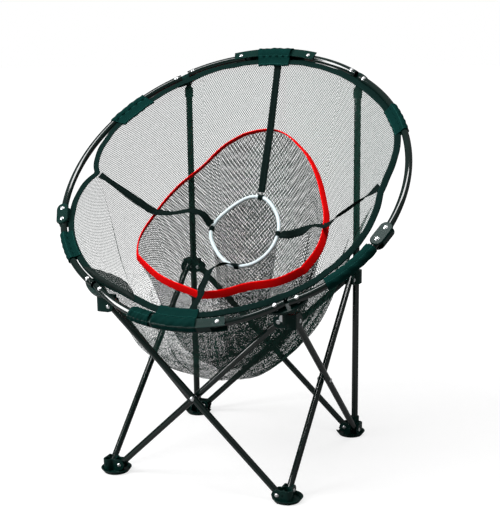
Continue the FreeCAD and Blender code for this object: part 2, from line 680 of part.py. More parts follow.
SIDE_UPPER_BENDS = {}
SIDE_LOWER_BENDS = {}
for side in ("left", "right"):
    short_end, front_end, rear_end = size("ring_end"), size("saddle_end"), size("rear_saddle_end")
    top = Bend(flat(TOP_PIVOT, side), flat(REAR_INNER_PIVOT, side), 390.0)
    bottom = Bend(flat(FRONT_INNER_PIVOT, side), flat(BOTTOM_PIVOT, side), 410.0)
    upper = Bend(flat(REAR_OUTER_PIVOT, side), flat(KNUCKLE_UPPER_PIVOT, side), 390.0)
    lower = Bend(flat(KNUCKLE_LOWER_PIVOT, side), flat(FRONT_OUTER_PIVOT, side), 330.0)
    SIDE_UPPER_BENDS[side], SIDE_LOWER_BENDS[side] = upper, lower
    ring_tube(f"ring_top_{side}", top, short_end, rear_end)
    ring_tube(f"ring_bottom_{side}", bottom, front_end, short_end)
    ring_tube(f"ring_upper_{side}", upper, rear_end, short_end, fixed_rivet=upper.start)
    ring_tube(f"ring_lower_{side}", lower, short_end, front_end)
    knuckle(side)
    rear_pin, front_pin = mirrored(REAR_PIN, side), mirrored(FRONT_PIN, side)
    saddle("rear", side, REAR_INNER_PIVOT, REAR_OUTER_PIVOT, rear_pin, [REAR_INNER_PIVOT])
    front_rivets = [FRONT_INNER_PIVOT, FRONT_OUTER_PIVOT]
    saddle("front", side, FRONT_INNER_PIVOT, FRONT_OUTER_PIVOT, front_pin, front_rivets)

wrap("wrap_upper_left", SIDE_UPPER_BENDS["left"], 0.124, 0.35)
wrap("wrap_upper_right", SIDE_UPPER_BENDS["right"], 0.247, 0.423)
wrap("wrap_lower_left", SIDE_LOWER_BENDS["left"], 0.26, 0.567)
wrap("wrap_lower_right", SIDE_LOWER_BENDS["right"], 0.142, 0.709)

# The net and its bands. Closed outlines have sixteen points, every 22.5 degrees from +X on.
SECTORS = 16
HEM_RADII = [372, 386, 374, 373, 371.8, 373, 374, 388, 356, 366, 382, 382, 391.8, 382, 384, 372]


def closed_wire(points, bulges):
    """A closed outline of arcs, each through two neighbouring points and the bulge between them."""
    edges = []
    for k, point in enumerate(points):
        edges.append(Part.Arc(point, bulges[k], points[(k + 1) % len(points)]).toShape())
    return Part.Wire(edges)


def sampled(curve):
    """Outline points and the bulges half way between them, of a curve given by a sector number."""
    return closed_wire([curve(k) for k in range(SECTORS)], [curve(k + 0.5) for k in range(SECTORS)])


def between(table, k):
    """A value of a table at a sector number, by a smooth closed curve through its entries."""
    low = math.floor(k)
    part = k - low
    before, a, b, after = (table[(low + i) % SECTORS] for i in (-1, 0, 1, 2))
    return a + part * (b - before) / 2 + part**2 * (before - 2.5 * a + 2 * b - after / 2) + part**3 * (
        (3 * a - 3 * b + after - before) / 2
    )


def hem_point(k, inside, height):
    """A point of the hem's outline in the ring's plane: so far inside its outer edge, and so high."""
    angle = math.radians(k * 360 / SECTORS)
    radius = between(HEM_RADII, k) - inside
    across = DRAWN_RING_MIDDLE[0] + radius * math.cos(angle)
    along = DRAWN_RING_MIDDLE[1] + radius * math.sin(angle)
    return RING_FRAME.multVec(in_ring(across, along, height))


NORMAL = RING_FRAME.Rotation.multVec(Z_AXIS)
half_hem = size("hem_thickness") / 2
hem_face = Part.Face(
    [
        sampled(lambda k: hem_point(k, 0, -half_hem)),
        sampled(lambda k: hem_point(k, size("hem_width"), -half_hem)),
    ]
)
hem_face.validate()
soft("net_hem", hem_face.extrude(NORMAL * size("hem_thickness")))


def closed_shell(faces):
    """One solid bounded by faces that meet edge to edge."""
    shell = Part.makeShell(faces)
    shell.sewShape()
    solid = Part.Solid(shell)
    if solid.Volume < 0:
        solid.reverse()
    return solid


def bezier(points, share):
    """A point of the cubic curve with these four control points."""
    rest = 1 - share
    weights = (rest**3, 3 * rest**2 * share, 3 * rest * share**2, share**3)
    total = Vector()
    for weight, point in zip(weights, points):
        total = total + point * weight
    return total


def bag_curve(rim, k, share, bottom, fullness, fold, inset):
    """A point of a hanging bag: down from its rim, out to its belly and in to its bottom.

    The netting comes in early at the front, where it passes between the legs, and hangs full at the rear.
    """
    angle = math.radians(k * 360 / SECTORS)
    front = (1 - math.sin(angle)) / 2
    arm = Vector(rim.x, rim.y - bottom.y, 0)
    out = arm.normalize()
    drop = rim.z - bottom.z
    reach = math.hypot(rim.x, rim.y - bottom.y)
    near = reach * (0.95 - 0.33 * front) - inset
    belly = reach * fullness * (0.84 - 0.08 * front) - inset
    flat_end = bottom + Z_AXIS * inset
    control = [
        rim,
        Vector(bottom.x, bottom.y, rim.z - (0.45 - 0.2 * front) * drop) + out * near,
        Vector(bottom.x, bottom.y, flat_end.z + 0.1 * drop) + out * belly,
        flat_end + out * (36.0 - inset),
    ]
    ripple = fold * math.sin(math.pi * share) * math.cos(math.pi * k)
    return bezier(control, share) + out * ripple


def bag(name, rim, bottom, fullness, fold, shares):
    """A hanging net bag, as a solid skin with its main folds; rim gives its edge at a sector and an inset."""
    walls, ends = [], []
    for inset in (0, size("net_thickness")):
        sections = []
        for share in shares:
            sections.append(sampled(lambda k: bag_curve(rim(k, inset), k, share, bottom, fullness, fold, inset)))
        walls += Part.makeLoft(sections, False, True).Faces
        ends.append(sections[0])
        walls.append(Part.Face(sections[-1]))
    edge = Part.Face(ends)
    edge.validate()
    return soft(name, closed_shell(walls + [edge]))


NET_BOTTOM = Vector(0, -25, size("net_bottom_height"))
bag(
    "net_outer",
    lambda k, inset: hem_point(k, size("hem_width") / 4 + inset, -half_hem),
    NET_BOTTOM,
    1.0,
    7.0,
    (0, 0.15, 0.35, 0.55, 0.75, 0.9, 1),
)

# The red band: a rounded triangle behind the ring's plane, whose face leans outward.
RED_RADII = [207, 195, 205, 234, 272, 253, 212, 212, 226, 256, 239, 220, 214, 198, 217, 222]
RED_MIDDLE = (4.0, -60.0)


def red_point(k, down, inside):
    """A point of the red band, so far down its face from the upper edge and so far inside its outer side."""
    angle = math.radians(k * 360 / SECTORS)
    slope = math.radians(size("red_slope"))
    radius = between(RED_RADII, k) - inside + down * math.cos(slope)
    across = RED_MIDDLE[0] + radius * math.cos(angle)
    along = RED_MIDDLE[1] + radius * math.sin(angle)
    return RING_FRAME.multVec(in_ring(across, along, -size("red_depth") - down * math.sin(slope)))


def red_wire(down, inside):
    return sampled(lambda k: red_point(k, down, inside))


wide, thick = size("red_width"), size("red_thickness")
red_wires = [[red_wire(down, inside) for down in (0, wide)] for inside in (0, thick)]
red_faces = []
for outer_and_inner in red_wires:
    red_faces += Part.makeLoft(outer_and_inner, False, True).Faces
for outline, hole in zip(*red_wires):
    rim_face = Part.Face([outline, hole])
    rim_face.validate()
    red_faces.append(rim_face)
soft("red_band", closed_shell(red_faces))

# The pocket net of the large target hangs from the lower edge of the red band.
bag(
    "net_red_pocket",
    lambda k, inset: red_point(k, wide, inset),
    Vector(0, -22, size("net_bottom_height") + 22),
    0.86,
    4.0,
    (0, 0.2, 0.45, 0.7, 0.88, 1),
)

# The white ring: a springy tube that its four straps pull out of round.
WHITE_RADII = [85, 84, 87, 96, 106, 99, 90, 88, 90, 86, 84, 90, 101, 106, 98, 89]
WHITE_MIDDLE = (-5.0, -55.0)


def white_line_point(k, grow=0.0, lower=0.0):
    """A point beside the white ring's middle line in the ring's frame, so far outside and so far below it."""
    angle = math.radians(k * 360 / SECTORS)
    radius = between(WHITE_RADII, k) + grow
    across = WHITE_MIDDLE[0] + radius * math.cos(angle)
    along = WHITE_MIDDLE[1] + radius * math.sin(angle)
    return in_ring(across, along, -size("white_depth") - lower)


def white_point(k, grow, lower):
    return RING_FRAME.multVec(white_line_point(k, grow, lower))


def half_arc(start, direction, end):
    """An arc from a point, in a direction, to another point."""
    chord = end - start
    to_middle = (direction + chord.normalize()).normalize()
    half = (end - start).Length / 2 / math.cos(direction.getAngle(end - start) / 2)
    return Part.Arc(start, start + to_middle * half, end).toShape()


def arc_loop(points, directions):
    """A smooth closed line: two arcs from each point to the next, and one direction where arcs meet."""
    edges = []
    for number, start in enumerate(points):
        following = (number + 1) % len(points)
        end, leaving, arriving = points[following], directions[number], directions[following]
        chord = end - start
        a = 2 * (leaving.dot(arriving) - 1)
        b = -2 * chord.dot(leaving + arriving)
        reach = (-b - math.sqrt(b**2 - 4 * a * chord.dot(chord))) / (2 * a)
        meeting = (start + leaving * reach + end - arriving * reach) * 0.5
        edges += [half_arc(start, leaving, meeting), half_arc(end, arriving * -1, meeting)]
    return Part.Wire(Part.__sortEdges__(edges))


white_points = [white_line_point(k) for k in range(0, SECTORS, 2)]
white_directions = [
    (white_line_point(k + 0.01) - white_line_point(k - 0.01)).normalize() for k in range(0, SECTORS, 2)
]
white_line = doc.addObject("Part::Feature", "WhiteLine")
white_line.Shape = arc_loop(white_points, white_directions)
white_section = doc.addObject("Part::Circle", "WhiteSection")
bind(white_section, Radius="white_tube_dia / 2")
white_section.Placement = Placement(white_points[0], Rotation(Z_AXIS, white_directions[0]))
white_tube = doc.addObject("Part::Sweep", "WhiteTube")
white_tube.Sections = [white_section]
white_tube.Spine = (white_line, [f"Edge{number + 1}" for number in range(len(white_line.Shape.Edges))])
white_tube.Solid = True
white_tube.Frenet = False
keep("white_ring", white_tube, RING_FRAME)

# The pocket net of the small target hangs from the white ring.
bag(
    "net_white_pocket",
    lambda k, inset: white_point(k, -inset, size("white_tube_dia") / 2),
    Vector(0, 5, size("net_bottom_height") + 48),
    0.9,
    1.0,
    (0, 0.25, 0.5, 0.75, 1),
)


def strap(k, hem_inside, ring_turn):
    """A strip of webbing from under the hem over the red band to the white ring, on the sector line k.

    Its three bends are worked out in the ring's own frame, and the strip is as wide as its sheet size.
    """
    thick = size("strap_thickness")
    to_flat = RING_FRAME.inverse()
    start = to_flat.multVec(hem_point(k, hem_inside, -half_hem - thick / 2))
    end = to_flat.multVec(white_point(k + ring_turn, size("white_tube_dia") / 2 + thick, 0))
    out = Vector(start.x - end.x, start.y - end.y, 0).normalize()
    across = Vector(-out.y, out.x, 0)
    tucked = start - out * 9
    red_middle = in_ring(*RED_MIDDLE)
    angle = math.degrees(math.atan2(start.y - red_middle.y, start.x - red_middle.x))
    half_band = size("red_thickness") / 2
    over = to_flat.multVec(red_point(angle * SECTORS / 360, 0, half_band)) + Z_AXIS * (thick + half_band)
    over = start + out * (over - start).dot(out) + Z_AXIS * (over.z - start.z + size("seat_gap"))
    line = [start, tucked, over, end]
    sides = []
    for number, point in enumerate(line):
        before = line[max(number - 1, 0)]
        after = line[min(number + 1, len(line) - 1)]
        along = (after - before).normalize()
        sides.append(along.cross(across).normalize() * (thick / 2))
    outline = [p + side for p, side in zip(line, sides)]
    outline += [p - side for p, side in zip(reversed(line), reversed(sides))]
    edge = across * (-size("strap_width") / 2)
    corners = [RING_FRAME.multVec(p + edge) for p in outline]
    face = Part.Face(Part.makePolygon(corners + corners[:1]))
    return face.extrude(RING_FRAME.Rotation.multVec(across) * size("strap_width"))


straps = [strap(0, 12, 0), strap(4, 12, 0), strap(8, 12, 0), strap(12, 12, 0)]
soft("target_straps", Part.makeCompound(straps))

# Every sub-part is checked before any file is written.
doc.recompute()
for thing in doc.Objects:
    if "Invalid" in thing.State or "Error" in thing.State:
        raise RuntimeError(f"{thing.Label} was not made: {thing.State}")
for piece in pieces:
    if piece.Shape.isNull() or not piece.Shape.isValid() or not piece.Shape.Solids:
        raise RuntimeError(f"{piece.Label} is not a valid solid")
for piece in pieces:
    piece.Shape.exportStep(f"parts/{piece.Label}.step")
print(len(pieces), "sub-parts written")
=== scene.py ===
# %% [markdown]
# # A folding golf chipping net
# Crossed leg tubes and two rear posts hold up a ring of bent tubes, which leans back. A net bag hangs in
# the ring, and two hoops hang on webbing inside it: a large red one and a small white one, each with a
# pocket. The hard parts come ready made with the frame. This lesson gives them their finishes, and makes
# the cloth, the netting, the webbing and the red hoop.

# %% Load the hard parts
import json
import math

import bpy
import numpy as np
from mathutils import Matrix, Vector


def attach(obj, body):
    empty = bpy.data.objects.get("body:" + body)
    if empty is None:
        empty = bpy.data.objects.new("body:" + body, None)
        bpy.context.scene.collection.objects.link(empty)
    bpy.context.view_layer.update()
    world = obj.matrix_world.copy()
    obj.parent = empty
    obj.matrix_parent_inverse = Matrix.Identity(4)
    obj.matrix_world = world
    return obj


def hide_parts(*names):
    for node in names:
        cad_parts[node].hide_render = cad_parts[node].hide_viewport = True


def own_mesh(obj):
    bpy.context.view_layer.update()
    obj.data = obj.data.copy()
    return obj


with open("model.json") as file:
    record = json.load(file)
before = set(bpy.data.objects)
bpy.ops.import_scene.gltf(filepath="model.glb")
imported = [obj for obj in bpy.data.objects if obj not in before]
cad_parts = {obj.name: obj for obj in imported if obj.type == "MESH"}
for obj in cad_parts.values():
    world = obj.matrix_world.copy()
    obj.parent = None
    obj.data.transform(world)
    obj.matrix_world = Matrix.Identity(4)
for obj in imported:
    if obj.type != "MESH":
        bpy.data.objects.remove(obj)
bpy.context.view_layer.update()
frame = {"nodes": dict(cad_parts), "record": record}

# %% [markdown]
# ## The camera
# The photo was taken from the front right, a little above the ring. A camera can be pushed about until the
# picture looks right, but then it only looks right in one spot. So the feet, the leg crossings and the
# ring's pivots were matched to their places in the picture. That gave the camera's place, its lens, a small
# roll, and a shift of the film, because the picture is cropped off its middle.

# %% Place the camera
STAND_BACK = 0.021
CAMERA_PLACE = Vector((1.0359, -2.2157, 0.9941))
CAMERA_TARGET = Vector((-0.0011, STAND_BACK, 0.4066))
CAMERA_ROLL = -0.0172
FILM_WIDTH = 36.0
LENS = 76.85
FILM_SHIFT = (0.030, 0.070)


def aimed(place, target):
    """The matrix of a camera or a lamp that stands at a place and looks at a target."""
    look = (target - place).to_track_quat("-Z", "Y").to_matrix().to_4x4()
    return Matrix.Translation(place) @ look


def add_camera():
    data = bpy.data.cameras.new("photo_camera")
    data.sensor_fit = "HORIZONTAL"
    data.sensor_width = FILM_WIDTH
    data.lens = LENS
    data.shift_x, data.shift_y = FILM_SHIFT
    camera = bpy.data.objects.new("photo_camera", data)
    bpy.context.scene.collection.objects.link(camera)
    camera.matrix_world = aimed(CAMERA_PLACE, CAMERA_TARGET) @ Matrix.Rotation(CAMERA_ROLL, 4, "Z")
    bpy.context.scene.camera = camera
    return camera


camera = add_camera()
print("camera looks along", [round(c, 3) for c in camera.matrix_world.to_quaternion() @ Vector((0, 0, -1))])

# %% [markdown]
# ## Writing materials as expressions
# A material is a tree of nodes. Wiring every node by hand hides the idea, so a socket is wrapped in a small
# class that knows plus, minus, times and so on. Then a pattern reads like the formula that it is, and each
# operator adds its own Math node.


# %% Sockets that calculate
class Wire:
    """A value inside a node tree; Python's operators on it add Math nodes."""

    def __init__(self, nodes, socket):
        self.nodes = nodes
        self.socket = socket

    def math(self, operation, *others):
        return self.nodes.calculate(operation, self, *others)

    def __add__(self, other):
        return self.math("ADD", other)

    __radd__ = __add__

    def __sub__(self, other):
        return self.math("SUBTRACT", other)

    def __rsub__(self, other):
        return self.nodes.calculate("SUBTRACT", other, self)

    def __mul__(self, other):
        return self.math("MULTIPLY", other)

    __rmul__ = __mul__

    def __truediv__(self, other):
        return self.math("DIVIDE", other)

    def __rtruediv__(self, other):
        return self.nodes.calculate("DIVIDE", other, self)

    def __pow__(self, other):
        return self.math("POWER", other)

    def __abs__(self):
        return self.math("ABSOLUTE")

    def __lt__(self, other):
        return self.math("LESS_THAN", other)

    def __gt__(self, other):
        return self.math("GREATER_THAN", other)

    def clamp(self, low=0.0, high=1.0):
        return self.math("MAXIMUM", low).math("MINIMUM", high)

    def either(self, other):
        """The larger of two masks, so that a point counts where any of them has it."""
        return self.math("MAXIMUM", other)


print("sockets calculate")

# %% [markdown]
# ## A tree that grows by calls
# Math is only part of a material. The other nodes could each get a function of their own, but they differ
# only in their type, their settings and what goes in. So one method adds any of them, and the few that the
# finishes use again and again have a short name.


# %% Trees of nodes
class Nodes:
    """A node tree, and the methods that add nodes to it."""

    def __init__(self, tree):
        self.tree = tree
        tree.nodes.clear()

    def add(self, kind, settings=None, inputs=None, output=0):
        """Adds a node: first its settings, then values or links for its sockets. Gives one output."""
        node = self.tree.nodes.new(kind)
        for key, value in (settings or {}).items():
            setattr(node, key, value)
        for key, value in (inputs or {}).items():
            if isinstance(value, Wire):
                self.tree.links.new(value.socket, node.inputs[key])
            else:
                node.inputs[key].default_value = value
        return None if output is None else Wire(self, node.outputs[output])

    def calculate(self, operation, *inputs):
        return self.add("ShaderNodeMath", {"operation": operation}, dict(enumerate(inputs)))

    def parts(self, vector):
        """The three coordinates of a vector."""
        return [self.add("ShaderNodeSeparateXYZ", {}, {0: vector}, output=axis) for axis in range(3)]

    def noise(self, vector, scale, detail=2.0, roughness=0.5):
        inputs = {"Vector": vector, "Scale": scale, "Detail": detail, "Roughness": roughness}
        return self.add("ShaderNodeTexNoise", {}, inputs)

    def blend(self, factor, low, high):
        """A colour between two others."""
        settings = {"data_type": "RGBA", "blend_type": "MIX"}
        return self.add("ShaderNodeMix", settings, {"Factor": factor, 6: low, 7: high}, output=2)

    def bump(self, height, strength, distance, normal=None):
        inputs = {"Height": height, "Strength": strength, "Distance": distance}
        if normal is not None:
            inputs["Normal"] = normal
        return self.add("ShaderNodeBump", {}, inputs)

    def rounded_edges(self, radius):
        return self.add("ShaderNodeBevel", {"samples": 4}, {"Radius": radius})


print("trees grow by calls")

# %% [markdown]
# ## A finish
# Every piece here has one surface, so one Principled shader is enough for each, and the network that drives
# it is all that differs. A finish is then a tree that has its shader already: fixed values are given when it
# is made, and what changes over the surface is linked to its sockets by name.


# %% Finishes
class Finish(Nodes):
    """A material with one Principled shader."""

    def __init__(self, name, **fixed):
        self.material = bpy.data.materials.new(name)
        self.material.use_nodes = True
        super().__init__(self.material.node_tree)
        self.shader = self.tree.nodes.new("ShaderNodeBsdfPrincipled")
        self.out = self.tree.nodes.new("ShaderNodeOutputMaterial")
        self.surface(Wire(self, self.shader.outputs[0]))
        for socket, value in fixed.items():
            self.shader.inputs[socket.replace("_", " ")].default_value = value

    def surface(self, wire):
        self.tree.links.new(wire.socket, self.out.inputs[0])

    def drive(self, **sockets):
        """Links values that change over the surface to the shader."""
        for socket, wire in sockets.items():
            self.tree.links.new(wire.socket, self.shader.inputs[socket.replace("_", " ")])

    def place(self, kind="Object"):
        return self.add("ShaderNodeTexCoord", output=kind)


def colour(red, green, blue):
    return (red, green, blue, 1.0)


print("white is", colour(1.0, 1.0, 1.0))

# %% [markdown]
# ## Working in the ring's own frame
# The ring leans back, and everything sewn hangs from it. It is easier to say where a thing is across the
# ring, up its slope and above its plane than in room coordinates, so one function turns the first into the
# second. The same directions later find the rivets for their silver finish.

# %% Ring coordinates
TILT = math.radians(43.5)
UP_SLOPE = np.array([0.0, math.cos(TILT), math.sin(TILT)])
NORMAL = np.array([0.0, -math.sin(TILT), math.cos(TILT)])
ACROSS = np.array([1.0, 0.0, 0.0])
RING_HEART = np.array([0.0, STAND_BACK, 0.694])


def on_ring(across, up, height):
    """Points from ring coordinates in metres; the arguments may be arrays."""
    across, up, height = np.broadcast_arrays(across, up, height)
    return (
        RING_HEART
        + across[..., None] * ACROSS
        + up[..., None] * UP_SLOPE
        + height[..., None] * NORMAL
    )


def unit(vectors):
    return vectors / np.linalg.norm(vectors, axis=-1, keepdims=True)


print("the ring's middle is", RING_HEART[2], "m up and leans back", round(math.degrees(TILT), 1), "degrees")

# %% [markdown]
# ## Silver rivets in dark parts
# Some rivets are in one solid with the dark part that they are set in, and so get its finish. Their faces
# could be picked out by hand, but that breaks when the mesh changes. So the finish itself works out where
# they are: a ring rivet stands square to the ring, a tilt pin lies across the stand, and a crossing's rivet
# goes through the crossed legs of one side. A point near enough to such an axis is on the rivet. The stand
# is the same left and right, so the distance across can drop its sign.

# %% Find the rivets
RIVET_REACH = 0.0051

# Across and up the slope, on the right half: each pair holds the ends of two neighbouring tubes.
REAR_SADDLE = ((0.211, 0.309), (0.247, 0.282))
KNUCKLE = ((0.400, -0.146), (0.388, -0.176))
FRONT_SADDLE = ((0.253, -0.334), (0.211, -0.358))
RING_RIVETS = REAR_SADDLE + KNUCKLE + FRONT_SADDLE

# Back and up, in room coordinates.
TILT_PINS = ((0.225 + STAND_BACK, 0.882), (-0.238 + STAND_BACK, 0.437))
CROSSING_HEIGHT = 0.2128


def rivet_mask(finish, where):
    """One where a point is on a rivet of the ring, a tilt pin or a leg crossing's rivet, zero elsewhere."""
    x, y, z = finish.parts(where)
    up = (y - RING_HEART[1]) * UP_SLOPE[1] + (z - RING_HEART[2]) * UP_SLOPE[2]
    across = abs(x)
    off_axis = [(across - a) ** 2 + (up - u) ** 2 for a, u in RING_RIVETS]
    off_axis += [(y - pin_y) ** 2 + (z - pin_z) ** 2 for pin_y, pin_z in TILT_PINS]
    off_axis += [out**2 + (z - CROSSING_HEIGHT) ** 2 for out in (x, y - STAND_BACK)]
    masks = [square < RIVET_REACH**2 for square in off_axis]
    found = masks[0]
    for mask in masks[1:]:
        found = found.either(mask)
    return found


print(len(RING_RIVETS), "ring rivets and", len(TILT_PINS), "tilt pins on each side")

# %% [markdown]
# ## Painted tubes
# Legs, posts and ring are thin steel tube with a glossy coat, nearly black with a touch of green. One even
# gloss would do from afar, but a coat is never quite even: it dulls in patches, and fine scratches cross it
# and hold a little dust. Three noises at different scales make the patches, the scratches and a faint
# grain. They mostly move the roughness, because that is what shows on a dark glossy surface.

# %% The tubes' finish
ZINC = colour(0.82, 0.84, 0.85)


def tube_finish():
    paint = Finish("tube_gloss_black", Specular_IOR_Level=0.62)
    where = paint.place()
    patches = paint.noise(where, 14.0, 3.0)
    grain = paint.noise(where, 900.0, 2.0)
    scratches = paint.noise(where, 230.0, 4.0, 0.7)
    worn = ((scratches - 0.68) * 9.0).clamp()
    silver = rivet_mask(paint, where)
    base = paint.blend(patches, colour(0.0010, 0.0065, 0.0050), colour(0.0020, 0.0130, 0.0105))
    base = paint.blend(worn * 0.2, base, colour(0.05, 0.06, 0.055))
    base = paint.blend(silver, base, ZINC)
    rough = 0.05 + patches * 0.07 + worn * 0.2 + silver * 0.3
    paint.drive(Base_Color=base, Roughness=rough, Metallic=silver)
    paint.drive(Normal=paint.bump(grain, 0.05, 0.0002))
    return paint.material


TUBE = tube_finish()
print("tubes painted with", len(TUBE.node_tree.nodes), "nodes")

# %% [markdown]
# ## Moulded fittings
# Feet, hubs, sliders, saddles and hinges are a dark green plastic. Its skin has a fine pebble from the
# mould, it greys a little where it is handled, and no moulded edge is ever knife sharp. The edges could be
# rounded in the mesh, which costs faces and moves the surface. The pebble is a bump instead, and a Bevel
# node rounds only the shading at the edges, so that they catch the light.


# %% The fittings' finish
def fitting_finish():
    plastic = Finish("moulded_green_black", Specular_IOR_Level=0.14)
    where = plastic.place()
    pebble = plastic.noise(where, 1400.0, 2.0)
    broad = plastic.noise(where, 22.0, 3.0)
    scuffs = ((plastic.noise(where, 120.0, 5.0, 0.7) - 0.62) * 7.0).clamp()
    silver = rivet_mask(plastic, where)
    base = plastic.blend(broad, colour(0.0015, 0.0130, 0.0105), colour(0.004, 0.029, 0.024))
    base = plastic.blend(scuffs * 0.25, base, colour(0.05, 0.075, 0.07))
    base = plastic.blend(silver, base, ZINC)
    rough = (0.2 + broad * 0.12 + scuffs * 0.15) * (1 - silver) + silver * 0.36
    plastic.drive(Base_Color=base, Roughness=rough, Metallic=silver)
    plastic.drive(Normal=plastic.bump(pebble, 0.12, 0.0003, plastic.rounded_edges(0.0011)))
    return plastic.material


FITTING = fitting_finish()
print("fittings moulded with", len(FITTING.node_tree.nodes), "nodes")

# %% [markdown]
# ## The other rivets
# Most rivets are parts of their own: zinc-plated steel with a rounded rim and a faint spangle. Polished
# metal would mirror the lamps and the dark tubes in hard patches. So the gloss is kept soft, and the spangle
# makes it a little uneven.


# %% The rivets' finish
def rivet_finish():
    zinc = Finish("rivet_silver", Metallic=1.0)
    spangle = zinc.noise(zinc.place(), 700.0, 2.0)
    base = zinc.blend(spangle, colour(0.72, 0.74, 0.75), colour(0.92, 0.93, 0.94))
    zinc.drive(Base_Color=base, Roughness=0.3 + spangle * 0.2)
    zinc.drive(Normal=zinc.bump(spangle, 0.1, 0.0002, zinc.rounded_edges(0.0008)))
    return zinc.material


RIVET = rivet_finish()
print("rivets plated with", len(RIVET.node_tree.nodes), "nodes")

# %% [markdown]
# ## Painting the hard parts
# The frame's record says for each part which material slot it has. Naming every part here would be long,
# and one is soon forgotten, so a table goes from slot to finish.

# %% Paint the hard parts
HARD_FINISHES = {"tube_gloss_black": TUBE, "moulded_green_black": FITTING, "rivet_silver": RIVET}
slot_of = {part["node"]: part["material_slot"] for part in frame["record"]["subparts"]}


def paint_node(node, finish):
    node.data.materials.clear()
    node.data.materials.append(finish)


for name, node in frame["nodes"].items():
    if slot_of[name] in HARD_FINISHES:
        paint_node(node, HARD_FINISHES[slot_of[name]])
print("hard parts painted:", sum(slot in HARD_FINISHES for slot in slot_of.values()))

# %% [markdown]
# ## The outlines of the cloth
# Hem, red hoop and white ring could be circles, but the photo shows that none of them is one: the straps
# and the sewing pull each out of round. So each is a closed curve, given by its distance from a middle at
# sixteen places round it, with a smooth curve through the values between them. Where a strap or a seam
# pulls at one spot, the curve also gets a small corner.

# %% Outlines
SECTORS = 16

# Millimetres, every 22.5 degrees from the right-hand side on.
HEM_RADII = [380, 398, 385, 377, 372, 377, 380, 396, 396, 408, 400, 379, 388, 386, 393, 391]
RED_RADII = [207, 195, 205, 234, 272, 253, 212, 212, 226, 256, 237, 217, 208, 195, 217, 222]
WHITE_RADII = [85, 84, 87, 96, 106, 99, 90, 88, 90, 86, 84, 90, 101, 106, 98, 89]


def between(table, k):
    """A smooth closed curve through the entries of a table, at fractional places k."""
    table = np.asarray(table, float) / 1000
    low = np.floor(k).astype(int)
    part = k - low
    before, a, b, after = (table[(low + i) % len(table)] for i in (-1, 0, 1, 2))
    return (
        a
        + part * (b - before) / 2
        + part**2 * (before - 2.5 * a + 2 * b - after / 2)
        + part**3 * (3 * a - 3 * b + after - before) / 2
    )


def outline(table, k, middle, grow, height):
    """A point of an outline round a middle in the ring's plane, so far outside it and so high."""
    angle = np.asarray(k, float) * (2 * math.pi / SECTORS)
    radius = between(table, np.asarray(k, float)) + grow
    return on_ring(middle[0] + radius * np.cos(angle), middle[1] + radius * np.sin(angle), height)


def sectors_from(middle, k):
    """How far places k are from a middle place, the short way round."""
    return (k - middle + SECTORS / 2) % SECTORS - SECTORS / 2


def pulled(k, corners):
    """How far an outline is pulled out by its corners."""
    k = np.asarray(k, float)
    return sum(out * np.exp(-np.abs(sectors_from(at, k)) / width) for at, out, width in corners)


print("hem is", round(2 * float(between(HEM_RADII, np.array([0.0]))[0]), 3), "m across")

# %% [markdown]
# ## Points of the hem, the band and the ring
# The three outlines lie at different depths, each round a middle of its own. The red band also leans, so a
# point further down its face is further out too. Hem, bags, band and loops all ask for their points here
# instead of keeping numbers of their own, so that they meet whatever the tables say.

# %% Points of the three outlines
HEM_MIDDLE = (0.0, -0.019)
RED_MIDDLE = (0.004, -0.060)
WHITE_MIDDLE = (-0.005, -0.055)
RED_DEPTH = 0.100
RED_SLOPE = math.radians(62)
WHITE_DEPTH = 0.165

# A place in sectors, how far the outline is pulled out there in metres, and the pull's width in sectors.
HEM_CORNERS = [(8.05, -0.032, 0.28), (15.8, -0.008, 0.4)]
RED_CORNERS = [(9.3, 0.006, 0.22), (11.6, 0.007, 0.25), (14.5, 0.006, 0.22), (4.7, 0.004, 0.3)]


def hem_point(k, inside, height):
    """The hem's outline, so far inside its outer edge."""
    return outline(HEM_RADII, k, HEM_MIDDLE, pulled(k, HEM_CORNERS) - inside, height)


def red_point(k, down, inside):
    """The red band, so far down its leaning face and so far inside its outer side."""
    grow = down * math.cos(RED_SLOPE) - inside + 0.002 + pulled(k, RED_CORNERS)
    return outline(RED_RADII, k, RED_MIDDLE, grow, -RED_DEPTH - down * math.sin(RED_SLOPE))


def white_point(k, grow, lower):
    """The white ring's centre line, so far outside it and so much lower."""
    return outline(WHITE_RADII, k, WHITE_MIDDLE, grow, -WHITE_DEPTH - lower)


print("the white ring's front is at", [round(float(c), 3) for c in white_point(np.array([12.0]), 0, 0)[0]])

# %% [markdown]
# ## Cloth surfaces from rows of points
# Netting, bands and webbing are all grids: rows of points, joined into four-sided faces. A plane with
# modifiers could be bent into most of them, but its UVs would stretch with it. One helper makes the mesh
# instead, and lays it out flat in metres as UVs, so that a weave drawn on it has its true size.


# %% Grid helper
def grid_piece(name, points, flat_map, body, finish, closed_round=False, closed_across=False):
    """A mesh from an array of points [row][column]; flat_map has each face corner's flat place in metres."""
    rows, columns = points.shape[:2]
    index = np.arange(rows * columns).reshape(rows, columns)
    row_end = rows if closed_across else rows - 1
    column_end = columns if closed_round else columns - 1
    faces, flat = [], []
    for r in range(row_end):
        for c in range(column_end):
            r2, c2 = (r + 1) % rows, (c + 1) % columns
            faces.append([int(index[place]) for place in ((r, c), (r, c2), (r2, c2), (r2, c))])
            flat += [flat_map(r, c), flat_map(r, c + 1), flat_map(r + 1, c + 1), flat_map(r + 1, c)]
    mesh = bpy.data.meshes.new(name)
    mesh.from_pydata(points.reshape(-1, 3).tolist(), [], faces)
    mesh.uv_layers.new(name="flat").data.foreach_set("uv", np.array(flat, np.float32).ravel())
    mesh.polygons.foreach_set("use_smooth", [True] * len(mesh.polygons))
    mesh.materials.append(finish)
    piece = bpy.data.objects.new(name, mesh)
    bpy.context.scene.collection.objects.link(piece)
    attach(piece, body)
    return piece


